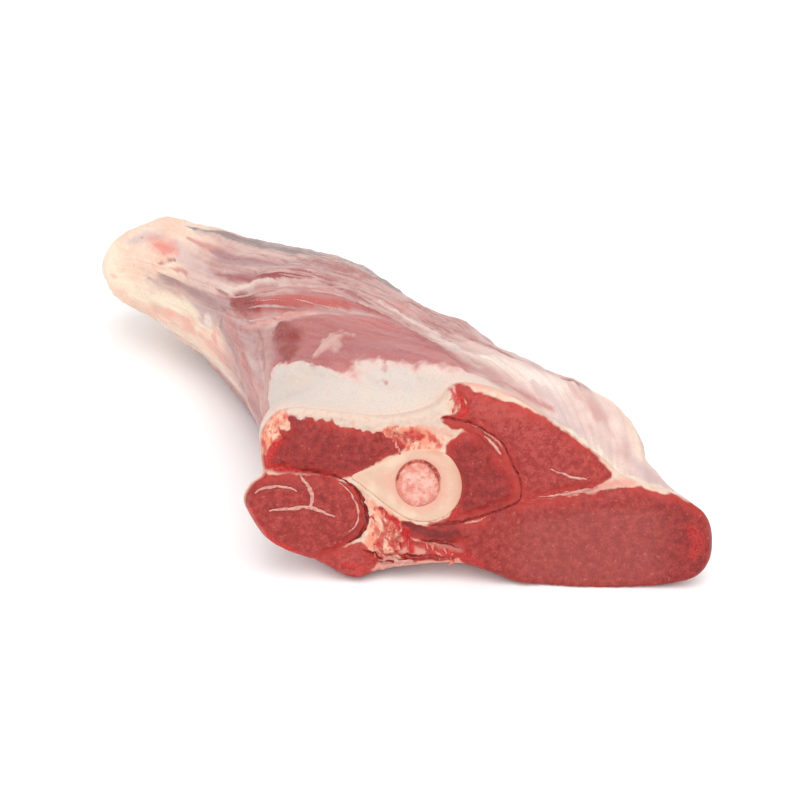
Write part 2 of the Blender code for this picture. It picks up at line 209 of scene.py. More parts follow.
def grown(loop, amount):
    """A loop moved outwards by the same amount all round."""
    along = np.roll(loop, -1, axis=0) - np.roll(loop, 1, axis=0)
    outwards = np.stack((along[:, 1], -along[:, 0]), 1) / np.hypot(*along.T)[:, None]
    return loop + np.reshape(amount, (-1, 1)) * outwards


def lumps(points, size, seed, octaves=3):
    """Natural unevenness, about -1 to 1, in lumps of about this size, at points in space or in a plane."""
    spots = np.zeros((len(points), 3))
    spots[:, :points.shape[1]] = points
    spots = (spots / size + 19.7 * seed).tolist()       # each seed reads another part of the noise
    falloff, step = 0.9, 2.0                            # of each finer layer of lumps
    return 1.6 * np.array([noise.fractal(spot, falloff, step, octaves) for spot in spots])


def loft(rings):
    """Points and faces of a closed skin over rings, with a point at the middle of each end."""
    columns = len(rings[0])
    points = np.vstack([rings[0].mean(axis=0)[None], *rings, rings[-1].mean(axis=0)[None]])
    after = (np.arange(columns) + 1) % columns
    faces = []
    for row in range(len(rings) - 1):
        start = 1 + row * columns
        here = np.arange(columns)
        faces.extend(np.stack((start + here, start + after, start + columns + after,
                               start + columns + here), 1).tolist())
    last = len(points) - 1 - columns
    for column in range(columns):
        faces.append((0, 1 + int(after[column]), 1 + column))
        faces.append((len(points) - 1, last + column, last + int(after[column])))
    return points, faces


def placed(name, data):
    """A new object in the scene."""
    thing = bpy.data.objects.new(name, data)
    bpy.context.scene.collection.objects.link(thing)
    return thing


def new_piece(name, points, faces, material):
    """A smooth piece from points in millimetres round the bone, with its faces turned outwards."""
    mesh = bpy.data.meshes.new(name)
    mesh.from_pydata(((np.asarray(points) + BONE_MIDDLE_AT_CUT) * MM).tolist(), [], faces)
    shape = bmesh.new()
    shape.from_mesh(mesh)
    bmesh.ops.recalc_face_normals(shape, faces=shape.faces)
    shape.to_mesh(mesh)
    shape.free()
    mesh.shade_smooth()
    mesh.materials.append(material)
    return placed(name, mesh)


def give(piece, name, values):
    """Stores a number, or a direction, at each point of a piece for its material to read."""
    values = np.asarray(values, np.float32)
    kind = "FLOAT" if values.ndim == 1 else "FLOAT_VECTOR"
    layer = piece.data.attributes.new(name, kind, "POINT")
    layer.data.foreach_set("value" if kind == "FLOAT" else "vector", values.ravel())


def new_material(name):
    """A new material, its tree of nodes and its shader."""
    material = bpy.data.materials.new(name)
    material.use_nodes = True
    tree = material.node_tree
    return material, tree, tree.nodes["Principled BSDF"]


def feed(tree, node, inputs):
    """Sets a node's inputs to values, or links them to other nodes' outputs."""
    for key, value in inputs.items():
        if isinstance(value, bpy.types.NodeSocket):
            tree.links.new(value, node.inputs[key])
        else:
            node.inputs[key].default_value = value


def put(tree, kind, inputs=None, **settings):
    """Adds a node and feeds its inputs."""
    node = tree.nodes.new(kind)
    for name, value in settings.items():
        setattr(node, name, value)
    feed(tree, node, inputs or {})
    return node


def stored(tree, name, part="Fac"):
    """A value that give() stored on the piece."""
    return put(tree, "ShaderNodeAttribute", attribute_name=name).outputs[part]


def grain(tree, size, where=None, detail=3.0, roughness=0.5, stretch=None):
    """Noise with lumps of about this size, in millimetres."""
    where = where or put(tree, "ShaderNodeTexCoord").outputs["Object"]
    if stretch:
        where = put(tree, "ShaderNodeMapping", {"Vector": where, "Scale": stretch}).outputs[0]
    inputs = {"Vector": where, "Scale": 1 / (size * MM), "Detail": detail, "Roughness": roughness}
    return put(tree, "ShaderNodeTexNoise", inputs).outputs["Fac"]


def times(tree, first, second):
    """Two numbers multiplied."""
    return put(tree, "ShaderNodeMath", {0: first, 1: second}, operation="MULTIPLY").outputs[0]


def band(tree, value, low, high, start=0.0, end=1.0):
    """Gives start where the value is below low, end where it is above high, and a soft change between."""
    inputs = {"Value": value, "From Min": low, "From Max": high, "To Min": start, "To Max": end}
    return put(tree, "ShaderNodeMapRange", inputs, interpolation_type="SMOOTHSTEP").outputs["Result"]


def mixed(tree, share, first, second):
    """Two colours mixed; each is a colour or another node's output."""
    colours = {6: first, 7: second, 0: share}
    inputs = {key: (*value, 1) if isinstance(value, tuple) else value for key, value in colours.items()}
    return put(tree, "ShaderNodeMix", inputs, data_type="RGBA", clamp_factor=True).outputs[2]


def bumped(tree, shader, height, distance, strength=1.0):
    """Raises a material's fine surface by up to this distance, in millimetres."""
    bump = put(tree, "ShaderNodeBump", {"Height": height, "Distance": distance * MM, "Strength": strength})
    feed(tree, shader, {"Normal": bump.outputs["Normal"]})


def bone_section(y, angles):
    """The outline of the shin bone at y: a drop at the cut, an oval along the shaft."""
    half_across, half_up, across, up = between(BONE, y)
    oval = superellipse(angles, half_across, half_across, half_up, half_up, SHAFT_SQUARENESS)
    drop = around(angles, reach(bone_cut_loop, (0, 0), angles))
    share = eased(1 - y / CREST_FADE)
    return (1 - share) * ((across, up) + oval) + share * drop


bone_cut_loop = smooth_path(BONE_CUT_OUTLINE, 24, True)
bone_angles = column_angles(bone_cut_loop, (0, 0), BONE_COLUMNS)
canal = superellipse(bone_angles, CANAL_HALF_ACROSS, CANAL_HALF_ACROSS, CANAL_HALF_UP, CANAL_HALF_UP, 2)

bone_rings, bone_zone = [], []      # zone: 0 knuckle, 1 shaft, 2 to 3 sawn ring from outside in
shaft_end = BONE[-1].y
end_section = bone_section(shaft_end, bone_angles)
end_middle = end_section.mean(axis=0)
for turn in np.linspace(0, pi / 2, KNUCKLE_RINGS)[1:]:
    share = sin(turn)
    section = end_middle + share * (end_section - end_middle)
    sideways = section[:, 0] - end_middle[0]
    groove = KNUCKLE_GROOVE * (1 - share**2) * np.cos(2 * pi * sideways / KNUCKLE_GROOVE_APART)
    ring = in_plane(section, shaft_end)
    ring[:, 1] += KNUCKLE_REACH * cos(turn) ** 0.8 + groove - KNUCKLE_SLANT * sideways * share
    ring[:, 1] += KNUCKLE_LUMPS * lumps(ring, 6, 3)
    bone_rings.append(ring)
    bone_zone.append(0)
for y in SHAFT_RINGS:
    bone_rings.append(in_plane(bone_section(y, bone_angles), y))
    bone_zone.append(1)
ring_outside = bone_section(0, bone_angles)
for inset, depth in SAWN_EDGE:
    bone_rings.append(slid(in_plane(grown(ring_outside, -inset), 0), BONE_PROUD - depth))
    bone_zone.append(2)
edge = grown(ring_outside, -inset)
for share in np.linspace(0, 1, SAWN_RINGS)[1:]:
    ring = in_plane(edge + share * (canal - edge), 0)
    rough = SAW_ROUGHNESS * lumps(ring, 1.6, 5) + SAW_ROUGHNESS * lumps(ring, 5, 6)
    bone_rings.append(slid(ring, BONE_PROUD + rough * sin(pi * share) - CANAL_EDGE_DROP * share**8))
    bone_zone.append(2 + share)
for y in (1.5, 5, CANAL_DEPTH):
    bone_rings.append(in_plane(canal * CANAL_TAPER, y))
    bone_zone.append(3)

bone_finish, tree, shader = new_material("shin_bone")
zone = stored(tree, "zone")
mottle = grain(tree, 5.0, detail=4)
cream = mixed(tree, band(tree, mottle, 0.35, 0.65), (0.64, 0.43, 0.31), (0.71, 0.53, 0.39))
inner = mixed(tree, band(tree, zone, 2.3, 2.95), cream, (0.67, 0.36, 0.27))
spots = times(tree, band(tree, grain(tree, 1.1, detail=2), 0.56, 0.72), band(tree, zone, 2.0, 2.1))
dotted = mixed(tree, times(tree, spots, 0.35), inner, (0.78, 0.42, 0.32))
rim_line = times(tree, band(tree, zone, 1.98, 2.0), band(tree, zone, 2.02, 2.10, 1.0, 0.0))
ringed = mixed(tree, times(tree, rim_line, 0.45), dotted, (0.80, 0.47, 0.33))
stain = times(tree, stored(tree, "stained"), band(tree, mottle, 0.25, 0.6))
ringed = mixed(tree, stain, ringed, (0.60, 0.24, 0.16))
gristle = mixed(tree, band(tree, grain(tree, 7.0), 0.42, 0.68), (0.86, 0.71, 0.62), (0.84, 0.50, 0.44))
feed(tree, shader, {
    "Base Color": mixed(tree, band(tree, zone, 0.0, 0.9), gristle, ringed),
    "Roughness": band(tree, mottle, 0.2, 0.8, 0.36, 0.52),
    "Subsurface Weight": 0.25,
    "Subsurface Radius": (1.0, 0.5, 0.3),
    "Subsurface Scale": 2.0 * MM,
})
bumped(tree, shader, grain(tree, 0.8, detail=5, roughness=0.6), 0.12, 0.6)

shin_bone = new_piece("shin_bone_sawn", *loft(bone_rings), bone_finish)
zones = np.repeat(bone_zone, BONE_COLUMNS)
give(shin_bone, "zone", np.concatenate(([0], zones, [3])))
towards_calf = eased((np.cos(np.tile(bone_angles, len(bone_rings)) - radians(35)) + 0.1) / 0.8)
beside_flesh = np.where(zones == 2, 1, eased((2.75 - zones) / 0.75)) * (zones >= 2)
give(shin_bone, "stained", np.concatenate(([0], STAIN_MOST * towards_calf * beside_flesh, [0])))
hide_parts("shin_bone")
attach(shin_bone, "root")

# ---------------------------------------------------------------------------------------------
# MARROW. Soft pink fat that fills the bone's canal. The saw has smeared it into a grainy, slightly
# swollen plug that has shrunk away from the bone at the top.

MARROW_RINGS = 34
MARROW_SHRINK = 0.45        # away from the bone at the top
MARROW_SWELL = 0.45
MARROW_MIDDLE = 0.02        # the smallest ring's share of the edge
MARROW_GAP = 0.05           # to the bone all round
MARROW_RAGGED = 0.28
COARSE_CRUMBLE = 0.26
FINE_CRUMBLE = 0.16

upward = np.clip(np.sin(bone_angles + radians(15)), 0, 1) ** 0.7
ragged = MARROW_RAGGED * lumps(in_plane(canal, 0), 1.8, 13)
marrow_edge = grown(canal, ragged - MARROW_GAP - MARROW_SHRINK * upward)
marrow_rings = [in_plane(marrow_edge * 0.97, y) for y in (CANAL_DEPTH - 1, 8, 3)]
for share in np.linspace(1, MARROW_MIDDLE, MARROW_RINGS):
    ring = in_plane(marrow_edge * share, 0)
    crumble = COARSE_CRUMBLE * lumps(ring, 2.2, 11) + FINE_CRUMBLE * lumps(ring, 0.9, 12)
    height = 0.25 + MARROW_SWELL * (1 - share**4) - (0.1 + 0.9 * upward) * share**14
    height += crumble * (1 - 0.5 * share**6)
    marrow_rings.append(slid(ring, height))

marrow_finish, tree, shader = new_material("marrow")
from_middle = stored(tree, "from_middle")
coarse = grain(tree, 2.4, detail=4, roughness=0.6)
pink = mixed(tree, band(tree, coarse, 0.38, 0.62), (0.64, 0.22, 0.165), (0.75, 0.43, 0.35))
reddened = times(tree, band(tree, from_middle, 0.55, 1.0), band(tree, grain(tree, 1.6), 0.4, 0.6))
feed(tree, shader, {
    "Base Color": mixed(tree, reddened, pink, (0.60, 0.17, 0.12)),
    "Roughness": 0.42,
    "Subsurface Weight": 0.3,
    "Subsurface Radius": (1.0, 0.35, 0.25),
    "Subsurface Scale": 1.5 * MM,
})
bumped(tree, shader, grain(tree, 0.5, detail=4), 0.15, 0.7)

marrow = new_piece("marrow_plug", *loft(marrow_rings), marrow_finish)
ring_share = np.concatenate((np.ones(3), np.linspace(1, MARROW_MIDDLE, MARROW_RINGS)))
give(marrow, "from_middle", np.concatenate(([1], np.repeat(ring_share, BONE_COLUMNS), [0])))
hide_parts("marrow")
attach(marrow, "root")

# ---------------------------------------------------------------------------------------------
# BONE DUST AND CLOTS. Dark crumbs of blood that the saw packed into the gap between the marrow and
# the top of the bone's ring. They follow the gap, each turned and sized at random.

CLOT_SPACING = 0.36
CLOT_RADIUS = 0.3
CLOT_SEED = 4
CLOT_ARC = np.linspace(radians(14), radians(172), 60)       # round the canal, from its right
CLOT_ROWS = ((0.97, 0.3), (0.92, 0.05))     # (share of the canal's half width, how far it stands out)
CLOT_SIZES = (0.45, 1.15)   # least and most, as shares of the radius


def path_object(name, paths):
    """A curve object with one open run of points for each path; a fourth column is its half width."""
    curve = bpy.data.curves.new(name, "CURVE")
    curve.dimensions = "3D"
    for path in paths:
        spline = curve.splines.new("POLY")
        spline.points.add(len(path) - 1)
        places = np.ones((len(path), 4))
        places[:, :3] = (path[:, :3] + BONE_MIDDLE_AT_CUT) * MM
        spline.points.foreach_set("co", places.ravel())
        if path.shape[1] == 4:
            spline.points.foreach_set("radius", path[:, 3])
    return placed(name, curve)


def mottled(name, size, spread, dark, light, inputs):
    """A material whose colour goes from dark to light in patches of about this size."""
    material, tree, shader = new_material(name)
    patches = band(tree, grain(tree, size), 0.5 - spread, 0.5 + spread)
    feed(tree, shader, {"Base Color": mixed(tree, patches, dark, light), **inputs})
    return material, tree, shader


class Tree:
    """A Geometry Nodes tree that is written top to bottom: named sizes in, one mesh out."""

    def __init__(self, name, **sizes):
        self.group = bpy.data.node_groups.new(name, "GeometryNodeTree")
        self.group.interface.new_socket("Geometry", in_out="OUTPUT", socket_type="NodeSocketGeometry")
        self.group.interface.new_socket("Geometry", in_out="INPUT", socket_type="NodeSocketGeometry")
        self.sizes = sizes
        for size, value in sizes.items():
            kind = "NodeSocketInt" if isinstance(value, int) else "NodeSocketFloat"
            self.group.interface.new_socket(size, in_out="INPUT", socket_type=kind)
        self.entry = self.group.nodes.new("NodeGroupInput")

    def add(self, kind, inputs=None, **settings):
        """Adds a node and returns its first output."""
        return put(self.group, kind, inputs, **settings).outputs[0]

    def size(self, name):
        """The output that carries one of the named sizes."""
        return self.entry.outputs[name]

    def finish(self, holder, shape, material):
        """Realizes and paints the shape, and returns it as a plain mesh piece."""
        real = self.add("GeometryNodeRealizeInstances", {0: shape})
        smooth = self.add("GeometryNodeSetShadeSmooth", {"Geometry": real})
        painted = self.add("GeometryNodeSetMaterial", {"Geometry": smooth, "Material": material})
        put(self.group, "NodeGroupOutput", {0: painted})
        step = holder.modifiers.new(self.group.name, "NODES")
        step.node_group = self.group
        for item in self.group.interface.items_tree:
            if item.in_out == "INPUT" and item.name in self.sizes:
                step[item.identifier] = self.sizes[item.name]
        depsgraph = bpy.context.evaluated_depsgraph_get()
        mesh = bpy.data.meshes.new_from_object(holder.evaluated_get(depsgraph), depsgraph=depsgraph)
        name = holder.name
        bpy.data.objects.remove(holder)
        if material.name not in [worn.name for worn in mesh.materials if worn]:
            mesh.materials.clear()
            mesh.materials.append(material)
        return placed(name, mesh)


clot_finish, tree, shader = mottled(
    "clotted_blood", 0.9, 0.1, (0.36, 0.03, 0.022), (0.66, 0.15, 0.09), {"Roughness": 0.3})
bumped(tree, shader, grain(tree, 0.3), 0.08, 0.6)

gap_paths = []
for reach_share, rise in CLOT_ROWS:
    gap = reach_share * around(CLOT_ARC, CANAL_HALF_ACROSS, CANAL_HALF_UP)
    gap_paths.append(slid(in_plane(gap, 0), rise))
nodes = Tree("clots", Spacing=CLOT_SPACING * MM, Radius=CLOT_RADIUS * MM, Seed=CLOT_SEED)
seed = nodes.size("Seed")
spots = nodes.add(
    "GeometryNodeResampleCurve", {"Curve": nodes.entry.outputs[0], "Length": nodes.size("Spacing")},
    mode="LENGTH")
crumb = nodes.add("GeometryNodeMeshIcoSphere", {"Radius": nodes.size("Radius"), "Subdivisions": 2})
knock = put(nodes.group, "ShaderNodeTexNoise", {"Scale": 1.6 / (CLOT_RADIUS * MM), "Detail": 2.0})
away = nodes.add(
    "ShaderNodeVectorMath", {0: knock.outputs["Color"], 1: (0.5, 0.5, 0.5)}, operation="SUBTRACT")
pushed = nodes.add("ShaderNodeVectorMath", {0: away, "Scale": 1.5 * CLOT_RADIUS * MM}, operation="SCALE")
lumpy = nodes.add("GeometryNodeSetPosition", {"Geometry": crumb, "Offset": pushed})
spin = nodes.add(
    "FunctionNodeRandomValue", {0: (0, 0, 0), 1: (6.3, 6.3, 6.3), "Seed": seed},
    data_type="FLOAT_VECTOR")
sizes = {2: CLOT_SIZES[0], 3: CLOT_SIZES[1], "Seed": seed}
growth = put(nodes.group, "FunctionNodeRandomValue", sizes, data_type="FLOAT")
set_out = nodes.add("GeometryNodeInstanceOnPoints", {
    "Points": spots, "Instance": lumpy, "Rotation": spin, "Scale": growth.outputs[1]})
clots = nodes.finish(path_object("clots_in_the_marrow_gap", gap_paths), set_out, clot_finish)
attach(clots, "root")

# ---------------------------------------------------------------------------------------------
# FLESH: FORM. The lower leg's muscles, closed in silverskin and fat, sawn across below the knee and
# jointed at the hock. One skin runs from the hock to the cut's edge and on over the sawn face.

FLESH_SQUARENESS = 2.3
SKIN_COLUMNS = 320
SKIN_ROWS = 206
HOCK_RINGS = 16
HOCK_BULGE = 2.2            # of the flesh past the hock's plane
CUT_OUTLINE = (
    (-42, 6), (-42, 14), (-38, 19.5), (-32, 21), (-21, 20), (-8, 19), (4, 22), (10, 28), (16, 28.5),
    (24, 26), (37, 18), (49, 9), (56, 3), (64, 0), (72, -3), (78, -7), (80.5, -13), (80, -21),
    (75, -26.5), (61, -29.5), (45, -30), (28, -28.5), (20, -25.5), (10, -23), (-2, -24), (-11, -26),
    (-18, -28), (-27, -23.5), (-35, -20.5), (-41, -17), (-45, -11), (-47, -6), (-45, -1.5),
    (-41.5, 1.5),
)
CUT_MIDDLE = (20, -10)
CUT_FADE = 26.0             # how far along the leg the cut's outline goes over to the plain one
CUT_GRID = 0.5              # between the points that fill the sawn face
CUT_EDGE = 1.6              # radius of the rounded rim
RIM_STEPS = 7
RIM_START = 2.2             # the skin ends here, and the rim rounds on to the sawn face

# The grain of the leg: where each line of it lies, in degrees round the leg, at each y.
GRAIN_LINES = (
    (0, (12, 26, 36, 50, 62, 180, 220, 272, 350)),
    (30, (10, 30, 40, 58, 70, 181, 220, 272, 346)),
    (55, (8, 36, 46, 64, 95, 180, 220, 272, 342)),
    (70, (9, 42, 50, 70, 128, 178, 220, 272, 340)),
    (84, (11, 53, 66, 98, 140, 174, 220, 272, 337)),
    (100, (15, 64, 87, 128, 148, 175, 222, 273, 336)),
    (120, (20, 67, 96, 135, 157, 178, 225, 275, 336)),
    (140, (28, 70, 98, 140, 160, 185, 230, 278, 335)),
    (HOCK_Y, (30, 74, 100, 140, 165, 190, 235, 280, 330)),
)
GRAIN_RADIUS = 30.0         # of the round bundle that the grain is unrolled to
GRAIN_STRETCH = 14.0


def distance_inside(points, loop):
    """Distance of points from a loop: more than 0 inside it, less outside."""
    start, end = loop, np.roll(loop, -1, axis=0)
    along = end - start
    found = []
    for part in np.array_split(points, 1 + len(points) // 4000):
        offset = part[:, None] - start
        share = np.clip((offset * along).sum(2) / (along**2).sum(1), 0, 1)
        distance = np.hypot(*np.moveaxis(offset - share[..., None] * along, 2, 0)).min(1)
        crosses = (start[:, 1] > part[:, None, 1]) != (end[:, 1] > part[:, None, 1])
        level = np.where(along[:, 1] == 0, 1, along[:, 1])
        beyond = offset[..., 0] < along[:, 0] * offset[..., 1] / level
        inside = (crosses & beyond).sum(1) % 2 == 1
        found.append(np.where(inside, distance, -distance))
    return np.concatenate(found)


def flesh_section(y, angles, cut_distance):
    """The outline of the flesh at y, across and up from the bone."""
    across, up, left, right, top, bottom = between(FLESH, y)[:-2]
    plain = (across, up) + superellipse(angles, left, right, top, bottom, FLESH_SQUARENESS)
    share = eased(1 - y / CUT_FADE)
    return (1 - share) * plain + share * (CUT_MIDDLE + around(angles, cut_distance))


cut_loop = smooth_path(CUT_OUTLINE, 24, True)
skin_angles = column_angles(cut_loop, CUT_MIDDLE, SKIN_COLUMNS)
cut_distance = reach(cut_loop, CUT_MIDDLE, skin_angles)

# Rings from the hock to the cut, then round the rim and on to the sawn face. Each has its y, its
# outline, and how far it is lifted off the leg's plane there and moved on past the hock.
Ring = namedtuple("Ring", "y outline lift on")
rings = []
hock_section = flesh_section(HOCK_Y, skin_angles, cut_distance)
hock_middle = hock_section.mean(axis=0)
for turn in np.linspace(0, pi / 2, HOCK_RINGS)[1:-1]:
    outline = hock_middle + sin(turn) ** 0.9 * (hock_section - hock_middle)
    rings.append(Ring(HOCK_Y, outline, 0, HOCK_BULGE * cos(turn)))
for y in np.linspace(HOCK_Y, RIM_START, SKIN_ROWS):
    rings.append(Ring(y, flesh_section(y, skin_angles, cut_distance), 0, 0))
skin_count = len(rings) * SKIN_COLUMNS
rim = flesh_section(0, skin_angles, cut_distance)
rim_turns = np.linspace(0, pi / 2, RIM_STEPS)
for turn in rim_turns:
    rings.append(Ring(0, grown(rim, -CUT_EDGE * (1 - cos(turn))), -CUT_EDGE * (1 - sin(turn)), 0))
ring_count = len(rings)
border = rings[-1].outline

# A fine grid of points fills the sawn face inside the rim.
low, high = border.min(axis=0), border.max(axis=0)
grid = np.array([
    (across, up)
    for row, up in enumerate(np.arange(low[1], high[1], CUT_GRID * 0.866))
    for across in np.arange(low[0] + (row % 2) * CUT_GRID / 2, high[0], CUT_GRID)
])
grid = grid[distance_inside(grid, grown(border, -0.6 * CUT_GRID)) > 0]

ringed_places = [in_plane(ring.outline, ring.y, ring.lift) + (0, ring.on, 0) for ring in rings]
places = np.vstack(ringed_places + [in_plane(grid, 0)])
flat = np.vstack([ring.outline for ring in rings] + [grid])
along_leg = np.concatenate((np.repeat([ring.y for ring in rings], SKIN_COLUMNS), np.zeros(len(grid))))
bearing = np.concatenate((np.tile(np.degrees(skin_angles), ring_count), np.zeros(len(grid))))
is_skin = np.arange(len(places)) < skin_count
is_cut = ~is_skin

# Which way each point of the skin faces.
skin_grid = places[:ring_count * SKIN_COLUMNS].reshape(ring_count, SKIN_COLUMNS, 3)
facing = np.cross(np.gradient(skin_grid, axis=0), np.roll(skin_grid, -1, 1) - np.roll(skin_grid, 1, 1))
facing = facing.reshape(-1, 3)
facing = facing / np.maximum(np.linalg.norm(facing, axis=1), 1e-9)[:, None]
outwards = np.vstack((facing, np.zeros((len(grid), 3))))
middles = np.repeat(skin_grid.mean(axis=1), SKIN_COLUMNS, axis=0)
if ((places[:skin_count] - middles[:skin_count]) * outwards[:skin_count]).sum() < 0:
    outwards = -outwards

# The grain: a bundle of lines round the leg, stretched out along it.
line_y = [y for y, lines in GRAIN_LINES]
line_columns = np.array([lines for y, lines in GRAIN_LINES], float).T
lines_at = np.array([np.interp(along_leg, line_y, column) for column in line_columns])
line_count = len(lines_at)
lines_at = np.vstack((lines_at[-1] - 360, lines_at, lines_at[0] + 360))
turned = np.where(bearing < lines_at[1], bearing + 360, bearing)
turned = np.where(turned > lines_at[-1], turned - 360, turned)
grain_line = np.zeros(len(places))
for index in range(line_count + 1):
    low_line, high_line = lines_at[index], lines_at[index + 1]
    share = (turned - low_line) / (high_line - low_line)
    grain_line = np.where((share >= 0) & (share < 1), index - 1 + share, grain_line)
swing = 2 * pi * grain_line / line_count
grain_place = np.column_stack((around(swing, GRAIN_RADIUS), along_leg / GRAIN_STRETCH))

# ---------------------------------------------------------------------------------------------
# FLESH: WHAT SHOWS ON THE SKIN. Dark bellies of muscle under thin silverskin, pale strips of sinew
# between them, a thick patch of white fat at the cut, and gristle round the hock.

SKIN_COLOURS = {
    "silverskin": (0.49, 0.30, 0.285),
    "fine_fat": (0.73, 0.57, 0.51),
    "sinew": (0.65, 0.46, 0.40),
    "white_sinew": (0.78, 0.66, 0.59),
    "gristle": (0.80, 0.62, 0.49),
    "yellow_gristle": (0.82, 0.71, 0.55),
    "peach": (0.80, 0.49, 0.38),
    "mauve": (0.36, 0.215, 0.225),
    "lilac": (0.54, 0.41, 0.40),
    "grey": (0.22, 0.195, 0.19),
    "dusty_pink": (0.52, 0.215, 0.195),
    "purple_lean": (0.36, 0.14, 0.15),
    "red_lean": (0.45, 0.148, 0.142),
    "bright_lean": (0.44, 0.068, 0.056),
    "deep_lean": (0.25, 0.028, 0.022),
    "blush": (0.70, 0.21, 0.18),
    "blood_line": (0.24, 0.05, 0.05),
    "fat": (0.60, 0.515, 0.46),
    "fat_margin": (0.70, 0.46, 0.42),
    "cream_fat": (0.66, 0.53, 0.45),
}

# The bellies that show through: colour, how far they stand out, and the outline as (y, degrees).
BELLIES = (
    ("purple_lean", 0.6, ((119, 127), (110, 121), (103, 114), (97, 101), (91, 86), (85, 77), (76, 73),
        (64, 66), (58, 66), (64, 74), (72, 82), (80, 86), (86, 96), (89, 108), (95, 118), (101, 124),
        (112, 130))),
    ("red_lean", 0.9, ((105, 138), (97, 129), (84, 116), (77, 102), (73, 90), (68, 82), (61, 76),
        (54, 71), (46, 67), (48, 73), (56, 81), (61, 89), (65, 99), (67, 108), (71, 118), (77, 130),
        (82, 140), (90, 143), (98, 142))),
    ("red_lean", 1.2, ((48, 152), (56, 143), (63, 138), (67, 132), (67, 124), (63, 114), (60, 102),
        (56, 86), (50, 75), (42, 68), (33, 70), (25, 74), (16, 80), (11, 86), (6, 94), (6, 112),
        (12, 130), (30, 148), (40, 155))),
)
BELLY_EDGE = 3.2            # how softly a belly fades out under the silverskin
BELLY_FRAY = 0.7            # how far the grain frays its edge
BELLY_CONTRAST = 0.12       # how much each colour is taken further from plain silverskin
MM_PER_DEGREE = 0.5         # round the leg, about, where the bellies are
GRISTLE_FROM = 128          # the y at which gristle takes over from silverskin
GRISTLE_FINGERS = 16        # how far its edge runs out in fingers on the far side
TENDON_FROM = 88            # the y from which the tendon on the leg's left goes pale
CALF_FAT_TO = 58            # the y at which the thin fat over the calf ends

